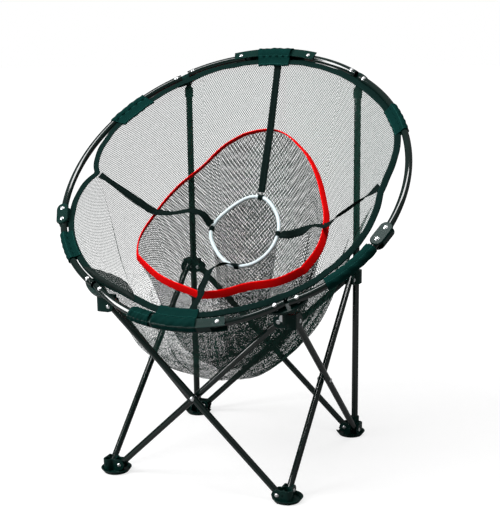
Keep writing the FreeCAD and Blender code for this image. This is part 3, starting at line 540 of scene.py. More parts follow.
def lengths_along(line):
    """How far each point of a line is from its first one, measured along it."""
    return np.concatenate([[0], np.cumsum(np.linalg.norm(np.diff(line, axis=0), axis=1))])


def area_of(piece):
    return sum(face.area for face in piece.data.polygons)


print("a line of 3 and 4 m is", lengths_along(np.array([[0, 0], [3, 0], [3, 4]]))[-1], "m long")

# %% [markdown]
# ## Netting
# The net is a knitted mesh: every strand zigzags and is joined to its neighbour on one side, then on the
# other, which leaves small six-sided holes. Modelling a million strands would be slow, so the surface is
# one thin sheet, and its alpha draws the strands from the flat UVs. Towards the bottom of a bag there is
# more netting than the place needs. It bunches up in folds and clumps, most of all on the right, so there
# the finish thickens the strands and tangles them until the holes close.


# %% The mesh finish
def netting_finish(name, pitch, cover, bunched, bunch_from, bunch_to, dark, pale):
    """A mesh: pitch is the strands' spacing in metres, cover and bunched the share that they hide.

    Bunching starts at the height bunch_from and is complete at bunch_to.
    """
    net = Finish(name, Specular_IOR_Level=0.2)
    flat = net.place("UV")
    across, along, _ = net.parts(flat)
    right, _, height = net.parts(net.place())
    shade = net.noise(flat, 60.0, 3.0)
    gather = ((bunch_from - height) / (bunch_from - bunch_to)).clamp()

    # A noise's middle level runs in long lines, which are the creases of folded netting.
    folds = (0.022 - abs(net.noise(flat, 5.5, 2.0) - 0.5)) * 40.0
    folds = folds.either((0.016 - abs(net.noise(flat, 11.0, 3.0, 0.6) - 0.5)) * 45.0).clamp()
    clumps = net.noise(flat, 21.0, 3.0, 0.6)
    tangle = net.noise(flat, 340.0, 1.0, 0.5)
    crowded = ((0.47 - height) * 6.0).clamp()
    strand = cover + (right * 0.25).clamp(0.0, 0.07) + gather * (bunched - cover)
    strand = strand + crowded * ((right * 1.6).clamp(0.0, 0.34) - 0.14)
    strand = strand + gather * (clumps - 0.5) * 0.5 + crowded * ((tangle - 0.5) * 3.4 + folds * 0.35)

    # Even and odd strands swing to opposite sides, so that each meets one neighbour and then the other.
    column = across / pitch
    number = column.math("FLOOR")
    inside = column - number - 0.5
    side = (number * 0.5).math("FRACT") * 4.0 - 1.0
    zigzag = (along / pitch).math("PINGPONG", 1.0) * 2.0 - 1.0
    swing = (zigzag * 1.5).clamp(-1.0, 1.0) * side * (0.5 - strand * 0.5)
    mask = abs(inside - swing) < strand * 0.5
    # Where the netting bunches near the bottom, its colour also goes towards the dark yarn: painted shade of
    # the folds there.
    base = net.blend((shade * (1 - gather * 0.8)).clamp(), dark, pale)
    net.drive(Base_Color=base, Alpha=mask, Roughness=0.62 + shade * 0.2)
    return net.material


GREEN_YARN = {"dark": colour(0.001, 0.012, 0.008), "pale": colour(0.003, 0.060, 0.042)}
BLACK_YARN = {"dark": colour(0.001, 0.004, 0.003), "pale": colour(0.004, 0.012, 0.010)}
# The rolled netting is the bag's own, but darker: painted shade between the hidden turns of the roll.
ROLLED_SHADED_YARN = {"dark": colour(0.001, 0.004, 0.0035), "pale": colour(0.003, 0.015, 0.012)}
NET_PALE = netting_finish("mesh_green", 0.0025, 0.45, 0.66, bunch_from=0.32, bunch_to=0.21, **GREEN_YARN)
NET_RED = netting_finish("mesh_black", 0.0036, 0.45, 0.52, bunch_from=0.36, bunch_to=0.24, **BLACK_YARN)
NET_FINE = netting_finish("mesh_black_fine", 0.0034, 0.34, 0.45, bunch_from=0.34, bunch_to=0.24, **BLACK_YARN)
NET_ROLL = netting_finish("mesh_rolled", 0.0023, 0.92, 0.95, bunch_from=0.3, bunch_to=0.2, **ROLLED_SHADED_YARN)
print("netting drawn with", len(NET_PALE.node_tree.nodes), "nodes")

# %% [markdown]
# ## Pleats and creases
# A bag swept smoothly from its rim to its bottom looks like a balloon. Real netting is gathered to the hem:
# at some places it is folded over itself and lies there in three layers. A simulation could find such
# pleats, but not these ones, so they are made by moving the columns of points past each other. Towards the
# bottom the cloth crumples, which a few ridged waves in seeded directions do.


# %% Pleats and creases
def pleated(k, share, pleats):
    """Column places moved past each other, and how far each column then stands out."""
    moved = np.repeat(k, len(share), axis=0)
    stand = np.zeros(moved.shape)
    for middle, width, strength, top in pleats:
        away = sectors_from(middle, k) / width
        bell = np.exp(-(away**2)) * np.clip((share - top) / 0.12, 0, 1) * np.clip((1 - share) / 0.1, 0, 1)
        moved = moved - strength * width * away * bell
        stand = stand + 0.004 * away * bell
    return moved, stand


def creases(angle, share, seed, count=9):
    """Sharp valleys and round crests in random directions over a bag."""
    chance = np.random.default_rng(seed)
    total = 0.0
    for _ in range(count):
        around, down = int(chance.integers(3, 13)) * 2, chance.uniform(-26, 26)
        wave = np.abs(np.sin((around * angle + down * share + chance.uniform(0, 6.28)) / 2)) ** 0.6
        total = total + (wave - 0.7) * chance.uniform(0.5, 1.0) / around**0.35
    return total


sample = creases(np.linspace(0, 2 * math.pi, 100), 0.9, seed=4)
print("creases go from", round(float(sample.min()), 2), "to", round(float(sample.max()), 2))

# %% [markdown]
# ## The rows of a bag
# A bag is a surface of rows: from its rim out to a belly and in to its bottom. Each column follows a curve
# with four control points, which is enough for a hanging side and easy to steer. The front hangs closer in
# than the back, and the outer bag is also drawn in on the right, where the photo shows it slim.

# %% The rows of a bag
LIFT = np.array([0, 0, 1.0])
BOTTOM_RADIUS = 0.036
BOTTOM_SAG = 0.004

# In radians round the bag from its right-hand side.
SLIM_SIDE = 0.35


def bezier(first, second, third, last, s):
    """Places on a curve with four control points, at shares s of the way."""
    rest = 1 - s
    return rest**3 * first + 3 * rest**2 * s * second + 3 * rest * s**2 * third + s**3 * last


def bag_points(rim, bottom, fullness, slim, fold, crumple, pleats, seed, rows, columns):
    """Rows of points of a hanging bag, from its rim down, and over its bottom to the middle."""
    share = np.linspace(0, 1, rows)[:, None]
    k, stand = pleated((np.arange(columns) * (SECTORS / columns))[None], share, pleats)
    edge = rim(k)
    angle = k * (2 * math.pi / SECTORS)
    front = ((1 - np.sin(angle)) / 2)[..., None]
    arm = (edge - bottom) * [1, 1, 0]
    reach = np.linalg.norm(arm, axis=2, keepdims=True)
    out = arm / reach
    drop = edge[..., 2:] - bottom[2]
    lean = slim * (0.5 + 0.5 * np.cos(angle - SLIM_SIDE))[..., None] ** 2
    near = bottom * [1, 1, 0] + LIFT * (edge[..., 2:] - (0.45 - 0.2 * front) * drop)
    near = near + out * reach * (0.95 - 0.33 * front) * (1 - 0.6 * lean)
    belly = bottom + LIFT * 0.1 * drop + out * reach * fullness * (1 - lean) * (0.84 - 0.08 * front)
    body = bezier(edge, near, belly, bottom + out * BOTTOM_RADIUS, share[..., None])
    ripple = fold * np.sin(math.pi * share) * np.cos(math.pi * k)
    wrinkle = crumple * creases(angle, share, seed) * share**1.3 * np.sin(math.pi * np.minimum(share, 0.93))
    body = body + out * (ripple + stand + wrinkle)[..., None]
    floor_rows = [
        bottom + out[-1] * BOTTOM_RADIUS * (1 - step / 6) - LIFT * BOTTOM_SAG * math.sin(step * 0.5)
        for step in range(1, 6)
    ]
    return np.concatenate([body, np.array(floor_rows)])


print("half-way down a straight side is at", bezier(0, 1 / 3, 2 / 3, 1, 0.5))

# %% [markdown]
# ## The three bags
# The outer bag is sewn into the hem, and each target has a pocket of its own, whose bottoms lie close above
# each other. A bag is cut from gores, like a ball, because a flat sheet can't take its shape without large
# folds. The UVs follow that: six gores lie side by side, each a sixth of the way round at its height. One
# narrow column of faces joins each gore to the next and is drawn out over the gap between them, so it shows
# as a fine dense seam.

# %% Hang the bags
GORES = 6
GORE_PITCH = 1.7


def hang_bag(name, node, finish, bottom, **shape):
    """One bag with its bottom, laid out flat in gores."""
    points = bag_points(bottom=np.array(bottom), **shape)
    columns = points.shape[1]
    steps = np.linalg.norm(np.diff(points, axis=0), axis=2)
    length = np.concatenate([[0], np.cumsum(steps.mean(1))])
    around = np.linalg.norm(points - np.roll(points, 1, axis=1), axis=2).sum(1)
    gore = columns // GORES

    def flat_map(row, column):
        panel = (column - 1) // gore
        return (around[row] * (column - (panel + 0.5) * gore) / columns + panel * GORE_PITCH, length[row])

    piece = grid_piece(name, points, flat_map, "net", finish, closed_round=True)
    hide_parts(node)
    return piece


BAND_WIDTH = 0.021
BOTTOM = 0.205

# A pleat's middle and width in sectors, how far it is folded over, and how far down it starts, as a share.
OUTER_PLEATS = [
    (14.55, 0.10, 1.9, 0.10), (14.95, 0.07, 2.2, 0.02), (15.35, 0.13, 1.7, 0.06), (15.8, 0.08, 2.0, 0.0),
    (0.25, 0.11, 1.8, 0.12), (0.7, 0.07, 2.0, 0.2), (1.3, 0.09, 1.6, 0.3), (13.6, 0.09, 1.8, 0.15),
    (9.4, 0.08, 1.6, 0.55), (10.3, 0.10, 1.8, 0.5), (11.2, 0.08, 1.9, 0.35), (12.5, 0.12, 1.7, 0.2),
    (2.4, 0.08, 1.4, 0.45), (5.2, 0.09, 1.4, 0.5), (7.1, 0.08, 1.5, 0.45),
]
RED_PLEATS = [
    (0.6, 0.14, 1.7, 0.1), (2.3, 0.12, 1.6, 0.2), (11.5, 0.14, 1.8, 0.05), (13.1, 0.12, 1.9, 0.1),
    (14.6, 0.15, 1.8, 0.0), (15.5, 0.12, 1.7, 0.1), (9.4, 0.12, 1.5, 0.2),
]
outer_bag = hang_bag(
    "outer_bag", "net_outer", NET_PALE, (-0.018, STAND_BACK - 0.025, BOTTOM),
    rim=lambda k: hem_point(k, 0.006, -0.0012),
    fullness=1.0, slim=0.2, fold=0.006, crumple=0.024, pleats=OUTER_PLEATS, seed=4, rows=72, columns=320,
)
red_pocket = hang_bag(
    "red_pocket", "net_red_pocket", NET_RED, (-0.010, STAND_BACK - 0.022, BOTTOM + 0.022),
    rim=lambda k: red_point(k, BAND_WIDTH, 0.001),
    fullness=0.95, slim=0.0, fold=0.004, crumple=0.020, pleats=RED_PLEATS, seed=7, rows=56, columns=240,
)
hang_bag(
    "white_pocket", "net_white_pocket", NET_FINE, (0, STAND_BACK + 0.005, BOTTOM + 0.048),
    rim=lambda k: white_point(k, 0, 0.004),
    fullness=0.9, slim=0.0, fold=0.001, crumple=0.012, pleats=[], seed=9, rows=40, columns=120,
)

# %% [markdown]
# ## A roll of spare netting
# At the front left some spare netting is rolled over the hem, where it shows as a dark lens. Its turns
# can't be seen, so a spiral would be lost work. It is a short strip along the hem, widest at its middle,
# that rises a little over the tape and drops to the bag.


def spare_roll(first=10.02, last=11.2, rows=14, columns=70):
    """A swelling strip along the hem, between two sector places."""
    k = np.linspace(first, last, columns)[None]
    share = np.linspace(0, 1, rows)[:, None]
    swell = np.sin(math.pi * (k - first) / (last - first)) ** 0.7
    inside = 0.003 + share * 0.034 * swell
    height = 0.003 + 0.012 * np.sin(math.pi * share**0.7) * swell - 0.008 * share * swell
    height = height + 0.0018 * swell * np.sin(34 * k + 5 * share) * share
    points = hem_point(np.broadcast_to(k, inside.shape), inside, height)
    along = lengths_along(points[0])
    piece = grid_piece("spare_netting", points, lambda r, c: (along[c], inside[r, c]), "net", NET_ROLL)
    return piece


spare = spare_roll()
print("spare netting", round(area_of(spare) * 10000), "square centimetres")

# %% [markdown]
# ## Woven bands
# The hem, the webbing, the wraps and the red band are woven tapes. A picture of cloth would be the quick
# way, but it has one size and one light in it. A plain weave is two sets of threads that cross: from the
# flat UVs each set is a row of round ribs, and the two take turns on top. Sewing shows as a dashed line
# near an edge.

# %% Woven finish
STITCH_PITCH = 0.0042
STITCH_SHARE = 0.62
STITCH_HALF = 0.0005


def woven_finish(name, dark, pale, thread, seams, seam_colour, rough=0.75):
    """A woven tape; thread is its thread spacing and seams are the stitch rows' places across it."""
    tape = Finish(name, Specular_IOR_Level=0.04)
    flat = tape.place("UV")
    along, across, _ = tape.parts(flat)
    over = (across * (math.pi / thread)).math("SINE")
    under = (along * (math.pi / thread)).math("SINE")
    turn = over * under > 0.0
    ribs = abs(over) * turn + abs(under) * (1 - turn)
    fade = tape.noise(flat, 35.0, 3.0)
    # The colour is lighter on the crests of the ribs and darker between the threads: painted shade of the
    # weave.
    base = tape.blend((ribs * 0.45 + fade * 0.55).clamp(), dark, pale)
    height = ribs
    for row in seams:
        dash = (along / STITCH_PITCH).math("FRACT") < STITCH_SHARE
        seam = (abs(across - row) < STITCH_HALF) * dash
        base = tape.blend(seam, base, seam_colour)
        height = height + seam * 1.5
    tape.drive(Base_Color=base, Roughness=rough + fade * 0.12)
    tape.drive(Normal=tape.bump(height, 0.35, 0.0004))
    return tape.material


HEM_CLOTH = woven_finish(
    "hem_green", colour(0.0015, 0.0075, 0.0065), colour(0.004, 0.019, 0.0165),
    thread=0.0009, seams=(0.003, 0.021), seam_colour=colour(0.010, 0.034, 0.03),
)
WRAP_CLOTH = woven_finish(
    "wrap_teal", colour(0.0006, 0.014, 0.012), colour(0.0018, 0.031, 0.027),
    thread=0.0011, seams=(0.0035, 0.0255), seam_colour=colour(0.012, 0.075, 0.065),
)
WEBBING = woven_finish(
    "webbing_dark", colour(0.0015, 0.005, 0.0045), colour(0.005, 0.013, 0.0115),
    thread=0.0014, seams=(0.0025, 0.0115), seam_colour=colour(0.01, 0.022, 0.02),
)
RED_CLOTH = woven_finish(
    "band_red", colour(0.86, 0.0015, 0.002), colour(0.97, 0.003, 0.004),
    thread=0.0010, seams=(0.003, 0.018), seam_colour=colour(0.9, 0.05, 0.05), rough=0.6,
)
print("a tape is drawn with", len(WEBBING.node_tree.nodes), "nodes")

# %% [markdown]
# ## Sweeping a tape
# Hem, red band and webbing all have one section along a line. Blender's own curves can carry a section, but
# they turn it as they like, and a tape has to face where it is sewn. So the sweep gets its directions
# given: one across the tape and one through it at each place of the line.


# %% Sweep a tape
def oval(width, thickness, count=12, power=0.45):
    """A flat oval section with rounded edges, as offsets across and through the tape."""
    turn = np.linspace(0, 2 * math.pi, count, endpoint=False)
    across = np.sign(np.cos(turn)) * np.abs(np.cos(turn)) ** power * width / 2
    through = np.sign(np.sin(turn)) * np.abs(np.sin(turn)) ** power * thickness / 2
    return np.stack([across, through], 1)


def closed_lengths(line):
    """Lengths along a closed line, with its whole length as the last one."""
    return lengths_along(np.concatenate([line, line[:1]]))


def sweep(name, centres, across, through, section, finish, closed=False):
    """A tape along centres; across and through are its section's directions at each centre."""
    wide, thick = section[None, :, :1], section[None, :, 1:]
    rings = centres[:, None] + wide * across[:, None] + thick * through[:, None]
    length, girth = closed_lengths(centres), closed_lengths(section)
    if not closed:
        start, end = (np.tile(centre, (1, len(section), 1)) for centre in (centres[0], centres[-1]))
        rings = np.concatenate([start, rings, end])
        length = np.concatenate([[0], length])

    def flat_map(row, column):
        return (length[row], girth[column])

    return grid_piece(name, rings, flat_map, "net", finish, closed_round=True, closed_across=closed)


print("a 16 mm tape is", round(float(closed_lengths(oval(0.016, 0.0034))[-1]), 3), "m round")

# %% [markdown]
# ## The hem
# The net's edge is sewn into a folded tape, about 16 mm wide and 3 mm thick. A plain flat ring would look
# machined, so the tape waves a little out of the ring's plane and rolls as it goes.

# %% Sweep the hem
HEM_WIDTH = 0.016
TAPE_THICKNESS = 0.0034


def make_hem(columns=480):
    k = np.arange(columns) * (SECTORS / columns)
    outer, inner = hem_point(k, 0.0, 0.0), hem_point(k, HEM_WIDTH, 0.0)
    across = unit(inner - outer)
    angle = k * (2 * math.pi / SECTORS)
    wave = 0.0007 * np.sin(19 * angle + 1.0) + 0.0005 * np.sin(43 * angle)
    centres = (outer + inner) / 2 + NORMAL * wave[:, None]
    roll = np.radians(5 * np.sin(11 * angle + 0.4) + 4 * np.sin(23 * angle))[:, None]
    lean = across * np.cos(roll) + NORMAL * np.sin(roll)
    through = unit(NORMAL * np.cos(roll) - across * np.sin(roll))
    piece = sweep("hem", centres, lean, through, oval(HEM_WIDTH, TAPE_THICKNESS), HEM_CLOTH, closed=True)
    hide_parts("net_hem")
    return piece


hem = make_hem()
print("hem swept,", len(hem.data.polygons), "faces")

# %% [markdown]
# ## The red band
# The large target's hoop is covered in red tape. A tape in the ring's plane would show the same width all
# round. The real one leans outward, so its edge faces the player at the top and its side at the bottom,
# which is why it looks thin above and broad below.


# %% Sweep the red band
def make_red_band(columns=320, inside=0.0015):
    k = np.arange(columns) * (SECTORS / columns)
    top, low = red_point(k, 0.0, inside), red_point(k, BAND_WIDTH, inside)
    across = unit(low - top)
    through = unit(np.cross(np.roll(top, -1, axis=0) - top, across))
    section = oval(BAND_WIDTH, TAPE_THICKNESS)
    piece = sweep("red_hoop", (top + low) / 2, across, through, section, RED_CLOTH, closed=True)
    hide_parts("red_band")
    return piece


red_hoop = make_red_band()
print("red hoop swept,", len(red_hoop.data.polygons), "faces")

# %% [markdown]
# ## The white ring
# The small target is a bent plastic tube, pale with a cool tint. The tube from the frame has the right
# shape, so it isn't made again. It keeps its own mesh and only gets a finish with faint flow marks.


# %% White ring finish
def white_finish():
    tube = Finish("ring_white", Specular_IOR_Level=0.5)
    where = tube.place()
    cloud = tube.noise(where, 30.0, 3.0)
    fine = tube.noise(where, 500.0, 2.0)
    base = tube.blend(cloud, colour(0.58, 0.70, 0.73), colour(0.74, 0.84, 0.87))
    tube.drive(Base_Color=base, Roughness=0.28 + cloud * 0.14, Normal=tube.bump(fine, 0.05, 0.0002))
    return tube.material


paint_node(frame["nodes"]["white_ring"], white_finish())
print("white ring finished")

# %% [markdown]
# ## A strap along its stops
# Four straps hold the targets: from under the hem, over the red band, to a loop round the white ring. Loose
# webbing is never flat. A simulation would let it sag, but not with the twists of the photo, so each strap
# follows chosen stops, with their corners rounded, and turns about its line as it goes.


# %% A strap along its stops
def smoothed(values, knots, t, span):
    """Values between knots, with their corners rounded over a span of steps."""
    line = np.stack([np.interp(t, knots, column) for column in np.atleast_2d(np.array(values).T)], 1)
    half = span // 2
    padded = np.vstack([np.repeat(line[:1], half, 0), line, np.repeat(line[-1:], half, 0)])
    kernel = np.ones(span) / span
    return np.stack([np.convolve(padded[:, i], kernel, "valid") for i in range(line.shape[1])], 1)


def strap(name, stops, width=0.019, thickness=0.0018, count=121):
    """A strip of webbing through stops of (across, up, height, turn)."""
    stops = np.array(stops, float)
    places = on_ring(*(stops[:, :3].T / 1000))
    knots = lengths_along(places)
    t = np.linspace(0, knots[-1], count)
    centres = smoothed(places, knots, t, 9)
    turn = np.radians(smoothed(stops[:, 3:], knots, t, 13))
    along = unit(np.gradient(centres, axis=0))
    side = unit(np.cross(along, np.broadcast_to(NORMAL, along.shape)))
    face = np.cross(side, along)
    across = side * np.cos(turn) + face * np.sin(turn)
    through = np.cross(across, along)
    piece = sweep(name, centres, across, through, oval(width, thickness, 10), WEBBING)
    print(name, round(float(knots[-1]), 3), "m long")
    return piece


print("rounded corner:", smoothed([[0.0], [1.0], [0.0]], [0, 4, 8], np.arange(9), 3)[4])

# %% [markdown]
# ## Loops round the white ring
# Each strap ends in a loop that is sewn round the white tube. A loop could be the strap's own last turn, but
# the tube is stiff and the strap isn't, and they part when the net folds. So it is a short closed tape of
# its own, a hair outside the tube.

# %% A loop of webbing
WHITE_TUBE_RADIUS = 0.0045
LOOP_GAP = 0.0003


def strap_loop(name, k, width=0.014, thickness=0.0016, count=24):
    """The end of a strap, sewn round the white ring at sector place k."""
    before, middle, after = (white_point(np.array([k + step]), 0, 0)[0] for step in (-0.05, 0, 0.05))
    along_ring = unit(after - before)
    outward = unit(np.cross(along_ring, NORMAL))
    turn = np.linspace(0, 2 * math.pi, count, endpoint=False)[:, None]
    radial = outward * np.cos(turn) + NORMAL * np.sin(turn)
    centres = middle + radial * (WHITE_TUBE_RADIUS + thickness / 2 + LOOP_GAP)
    across = np.broadcast_to(along_ring, centres.shape)
    piece = sweep(name, centres, across, radial, oval(width, thickness, 10), WEBBING, closed=True)
    return piece


print("loops go round a tube of", 2000 * WHITE_TUBE_RADIUS, "mm")

# %% [markdown]
# ## Laying the straps
# The stops were read off the photo one by one: where the strap leaves the hem, crosses the red band, sags,
# twists on edge and reaches its loop. A drooping formula would need fewer numbers, but would lose the twists.
# The right strap stands on edge for much of its way, so it looks thin.

# %% Lay the straps
# Across, up the slope and above the ring's plane in millimetres, then the turn in degrees.
STRAP_STOPS = {
    "top": [
        (9, 352, -3.4, 0), (11, 336, -6, 0), (12, 317, -14, -4),
        (3, 204, -96, 3), (6, 116, -128, 8), (5, 56, -158.5, 0),
    ],
    "left": [
        (-352, -28, -3.4, 0), (-333, -34, -12, 35), (-298, -44, -40, 12),
        (-262, -55, -67, -8), (-224, -64, -96, 0), (-184, -57, -108, 25),
        (-141, -34, -120, 15), (-114, -34, -132, 10), (-94, -50, -158.5, 5),
    ],
    "right": [
        (358, -24, -3.4, 0), (344, -36, -10, -5), (318, -46, -25, -58),
        (255, -62, -72, -62), (227, -73, -96, 0), (186, -66, -108, -45),
        (158, -77, -120, 35), (122, -77, -137, 60), (88, -62, -158.5, 10),
    ],
    "bottom": [
        (30, -398, -3.4, 0), (20, -385, -8, 0), (-1, -307, -62, 10), (-25, -272, -96, 0),
        (-36, -201, -122, 15), (-29, -183, -130, 60), (-13, -166, -142, 70), (4, -160, -158.5, 10),
    ],
}
LOOP_PLACES = {"top": 3.77, "left": 8.0, "right": 15.9, "bottom": 12.25}
straps = [strap(f"strap_{place}", stops) for place, stops in STRAP_STOPS.items()]
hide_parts("target_straps")
loops = [strap_loop(f"strap_loop_{place}", k) for place, k in LOOP_PLACES.items()]
print(len(straps), "straps and", len(loops), "loops laid")

# %% [markdown]
# ## Cloth wraps: the line along a tube
# Six cloth sleeves tie the hem to the ring, and each follows the arc of its tube. The arc could be traced
# on the tube's mesh, but its two ends and a radius say the same: of the two short arcs between them, it is
# the one that bulges away from the middle of the hem.


# %% Tube lines
def tube_line(start, end, radius, shares):
    """Places along the arc of a ring tube in ring coordinates, and the directions in towards its middle."""
    start, end = np.array(start), np.array(end)
    chord = end - start
    length = np.linalg.norm(chord)
    square = np.array([-chord[1], chord[0]]) / length
    middle = (start + end) / 2
    if np.dot(square, np.array(HEM_MIDDLE) - middle) < 0:
        square = -square
    heart = middle + square * math.sqrt(radius**2 - length**2 / 4)
    from_heart, to_heart = start - heart, end - heart
    first = math.atan2(from_heart[1], from_heart[0])
    bend = math.remainder(math.atan2(to_heart[1], to_heart[0]) - first, 2 * math.pi)
    angle = first + bend * shares
    inward = -np.stack([np.cos(angle), np.sin(angle)], 1)
    return heart - inward * radius, inward, abs(bend) * radius


def side_line(side, start, end, radius):
    """A tube at one side of the ring; side is -1 on the left and 1 on the right."""
    return ((side * start[0], start[1]), (side * end[0], end[1]), radius)


TOP_LINE = ((-0.089, 0.356), (0.089, 0.356), 0.395)
BOTTOM_LINE = ((-0.098, -0.412), (0.098, -0.412), 0.410)
UPPER_LEFT, UPPER_RIGHT = (side_line(side, REAR_SADDLE[1], KNUCKLE[0], 0.390) for side in (-1, 1))
LOWER_LEFT, LOWER_RIGHT = (side_line(side, KNUCKLE[1], FRONT_SADDLE[0], 0.330) for side in (-1, 1))
print("the upper tubes are", round(tube_line(*UPPER_LEFT, np.linspace(0, 1, 2))[2], 3), "m long")

# %% [markdown]
# ## Cloth wraps: the section
# Each sleeve is one piece of cloth that goes round the tube and closes in a flat flap, with the hem between
# its two layers, and is sewn through. A plain tube of cloth would miss the flap, so the section is a drop:
# round on the tube, flat over the hem, and pinched at its edge.

# %% A drop-shaped section
MOUTH = 38
FLAP_POINTS = 9
FLAP_THICKNESS = 0.0056


def drop_section(radius, reach, count=44):
    """A drop in the plane of inward and up: round about the tube, and flat out to the reach."""
    turn = np.linspace(math.radians(MOUTH), math.radians(360 - MOUTH), count - 2 * FLAP_POINTS)
    round_part = np.stack([radius * np.cos(turn), radius * np.sin(turn)], 1)
    share = np.linspace(0, 1, FLAP_POINTS)
    start = round_part[0]
    flap = start[0] + (reach - start[0]) * share
    half = FLAP_THICKNESS / 2 + (start[1] - FLAP_THICKNESS / 2) * (1 - share) ** 2.2
    half[-1] *= 0.45
    upper = np.stack([flap, half], 1)[::-1]
    lower = np.stack([flap, -half], 1)
    return np.concatenate([upper, round_part, lower])


print("a sleeve's section has", len(drop_section(0.0105, 0.024)), "points")

# %% [markdown]
# ## Cloth wraps: slack, rucks and turned-in ends
# Swept as it is, the section would look like a moulded clip. A sewn sleeve has slack in its flap and small
# rucks where the thread pulls, and its ends are turned in. Slow and quick waves along the sleeve do the
# first two, started elsewhere for each sleeve. Two more rows at each end go in under the cloth.

# %% Sew a sleeve
TURNED_IN = 0.0013
TUCK = 0.004


def rucked(section, radius, step, turned_in, seed):
    """The section with slack in its flap and rucks all round, at one step along the sleeve."""
    slack = 1 + 0.035 * math.sin(9.0 * step + seed) + 0.02 * math.sin(23.0 * step + 2 * seed)
    inward, up = section.T
    inward = np.where(inward > radius, radius + (inward - radius) * slack, inward)
    up = up * (1 + 0.05 * math.sin(14.0 * step + seed))
    around = 5 * np.arange(len(section)) / len(section) * 2 * math.pi
    ruck = 0.0005 * np.sin(31.0 * step + around + seed)
    grown = 1 + (ruck - turned_in) / np.hypot(inward, up)
    return inward * grown, up * grown


def sleeve(name, body, line, span, radius, reach, slant, seed, stations=46):
    """A sewn sleeve round a tube, over a span of shares of its length, with its flap over the hem."""
    places, to_heart, length = tube_line(*line, np.linspace(*span, stations))
    section = drop_section(radius, reach)
    centres = on_ring(places[:, 0], places[:, 1], 0.0)
    inward = on_ring(to_heart[:, 0], to_heart[:, 1], 0.0) - RING_HEART
    along = unit(np.gradient(centres, axis=0))
    rows = []
    for row in range(-2, stations + 2):
        at = min(max(row, 0), stations - 1)
        turned_in = TURNED_IN if row != at else 0.0
        u, n = rucked(section, radius, at / (stations - 1), turned_in, seed)
        tuck = TUCK if row < -1 else -TUCK if row > stations else 0
        shift = slant * np.clip(u / reach, 0, 1) + tuck
        rows.append(centres[at] + u[:, None] * inward[at] + n[:, None] * NORMAL + shift[:, None] * along[at])
    points = np.array(rows)
    lengths, girth = lengths_along(points[:, 0]), closed_lengths(section)
    piece = grid_piece(name, points, lambda r, c: (lengths[r], girth[c]), body, WRAP_CLOTH, closed_round=True)
    print(name, round(length * (span[1] - span[0]), 3), "m long,", round(float(girth[-1]), 3), "m round")
    return piece


print("a sleeve's ends are tucked in by", 1000 * TUCK, "mm")

# %% [markdown]
# ## Cloth wraps: sewing them on
# One sleeve is at the top, one at the bottom and two on each side. They differ too much in length and girth
# to be copies, so a table gives each its own. A short collar, left of the bottom sleeve on the same
# channel, is sewn by itself, for no part of the frame stands for it.

# %% Sew the wraps on
# The part that carries it, its line, the span of it, then radius, reach and slant in metres.
WRAPS = {
    "top": ("channel_top", TOP_LINE, (0.26, 0.74), 0.0178, 0.034, 0.002),
    "bottom": ("channel_bottom", BOTTOM_LINE, (0.24, 0.76), 0.0150, 0.040, -0.004),
    "upper_left": ("ring_upper_left", UPPER_LEFT, (0.195, 0.405), 0.0105, 0.034, -0.012),
    "upper_right": ("ring_upper_right", UPPER_RIGHT, (0.247, 0.423), 0.0105, 0.024, 0.006),
    "lower_left": ("ring_lower_left", LOWER_LEFT, (0.2, 0.62), 0.0105, 0.024, 0.0),
    "lower_right": ("ring_lower_right", LOWER_RIGHT, (0.09, 0.69), 0.0125, 0.018, -0.002),
}
for seed, (place, cut) in enumerate(WRAPS.items(), 1):
    sleeve(f"wrap_cloth_{place}", *cut, seed)
    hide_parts(f"wrap_{place}")
sleeve("wrap_collar", "channel_bottom", BOTTOM_LINE, (-0.06, 0.2), 0.0160, 0.019, 0.0, 7)

# %% [markdown]
# ## Folding
# The stand folds: its feet and the two halves of the ring come together, and the netting bunches up between
# them. Cloth that hangs in the ring can't follow one part. Here each such piece is only given a mesh of its
# own. The white ring is stiff, so it keeps its shape, with its small pocket and the loops on it.

# %% Give the hanging cloth meshes of their own
FOLDING = [outer_bag, red_pocket, spare, hem, red_hoop, *straps]
for piece in FOLDING:
    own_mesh(piece)
print(len(FOLDING), "pieces gather with the fold")

# %% [markdown]
# ## The floor
# The photo is a cut-out on white. A floor lit until it is white would throw too much light back on the
# object. So it has two shaders: a plain darker one lights the object from below, and for the camera alone a
# glow is added that lifts the lit floor to white. The glow grows with the distance, where the lamps no
# longer reach, so only the soft shadow under the object stays.

# %% Lay the floor
FLOOR_REACH = 30
FLOOR_GREY = colour(0.32, 0.32, 0.32)
GLOW_NEAR = 0.76
GLOW_STARTS = 0.8


def make_floor():
    mesh = bpy.data.meshes.new("floor")
    square = [(FLOOR_REACH * x, FLOOR_REACH * y, 0) for x, y in ((-1, -1), (1, -1), (1, 1), (-1, 1))]
    mesh.from_pydata(square, [], [(0, 1, 2, 3)])
    floor = bpy.data.objects.new("floor", mesh)
    bpy.context.scene.collection.objects.link(floor)
    ground = Finish("floor_white", Base_Color=FLOOR_GREY, Roughness=0.95, Specular_IOR_Level=0.0)
    plain = Wire(ground, ground.shader.outputs[0])
    x, y, _ = ground.parts(ground.place())
    far = (((x * x + y * y) ** 0.5 - GLOW_STARTS) * 0.8).clamp()
    near_glow = ground.add("ShaderNodeEmission", {}, {"Strength": GLOW_NEAR})
    far_glow = ground.add("ShaderNodeEmission", {}, {"Strength": 1.0})
    glow = ground.add("ShaderNodeMixShader", {}, {0: far, 1: near_glow, 2: far_glow})
    bright = ground.add("ShaderNodeAddShader", {}, {0: plain, 1: glow})
    seen = ground.add("ShaderNodeLightPath", output="Is Camera Ray")
    ground.surface(ground.add("ShaderNodeMixShader", {}, {0: seen, 1: plain, 2: bright}))
    mesh.materials.append(ground.material)
    return floor


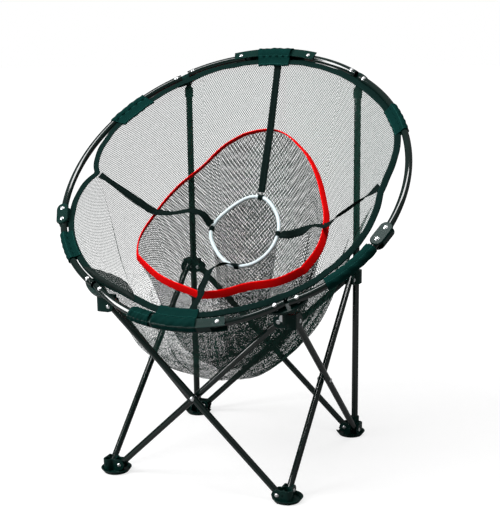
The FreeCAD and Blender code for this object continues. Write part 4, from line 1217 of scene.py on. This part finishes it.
floor = make_floor()
print("floor is", floor.dimensions.x, "m wide")

# %% [markdown]
# ## The room's light
# A white room would do for both backdrop and light, but it washes out dark paint. So the world is white only
# to the camera, and to light that has passed through something clear. To the object it is soft and dim, and
# weaker from below and from the sides than from above.


# %% Light the room
def make_world(strength):
    world = bpy.data.worlds.new("studio")
    bpy.context.scene.world = world
    world.use_nodes = True
    sky = Nodes(world.node_tree)

    def shine(power):
        return sky.add("ShaderNodeBackground", {}, {"Color": colour(1, 1, 1), "Strength": power})

    seen = sky.add("ShaderNodeLightPath", output="Is Camera Ray")
    seen = seen.either(sky.add("ShaderNodeLightPath", output="Is Transmission Ray"))
    rise = sky.parts(sky.add("ShaderNodeTexCoord", output="Generated"))[2]
    low, high = shine(strength * 0.4), shine(strength * 1.2)
    soft = sky.add("ShaderNodeMixShader", {}, {0: (rise * 1.3).clamp(), 1: low, 2: high})
    mixed = sky.add("ShaderNodeMixShader", {}, {0: seen, 1: soft, 2: shine(1.0)})
    sky.add("ShaderNodeOutputWorld", {}, {0: mixed}, output=None)
    return world


room = make_world(strength=0.22)
print("room lit by", room.name)

# %% [markdown]
# ## The lamps
# Every tube in the photo carries a thin bright line. A round or square lamp would give short spots. Two
# long narrow ones, one upright at the left and one level overhead, draw lines along the upright and the
# bent tubes.


# %% Hang the lamps
def add_lamp(name, place, wide, tall, power):
    """A strip lamp that shines on the middle of the stand; sizes in metres, power in watts."""
    data = bpy.data.lights.new(name, "AREA")
    data.shape = "RECTANGLE"
    data.size, data.size_y = wide, tall
    data.energy = power
    lamp = bpy.data.objects.new(name, data)
    bpy.context.scene.collection.objects.link(lamp)
    lamp.matrix_world = aimed(Vector(place), Vector((0, 0, 0.5)))
    return lamp


lamps = [
    add_lamp("strip_left", (-1.9, -1.5, 1.7), 0.5, 2.6, 76),
    add_lamp("strip_top", (0.2, -0.5, 2.9), 2.4, 0.5, 56),
]
bpy.context.scene.view_settings.view_transform = "Standard"
print("lamps:", [f"{lamp.name} {lamp.data.energy:.0f} W" for lamp in lamps])
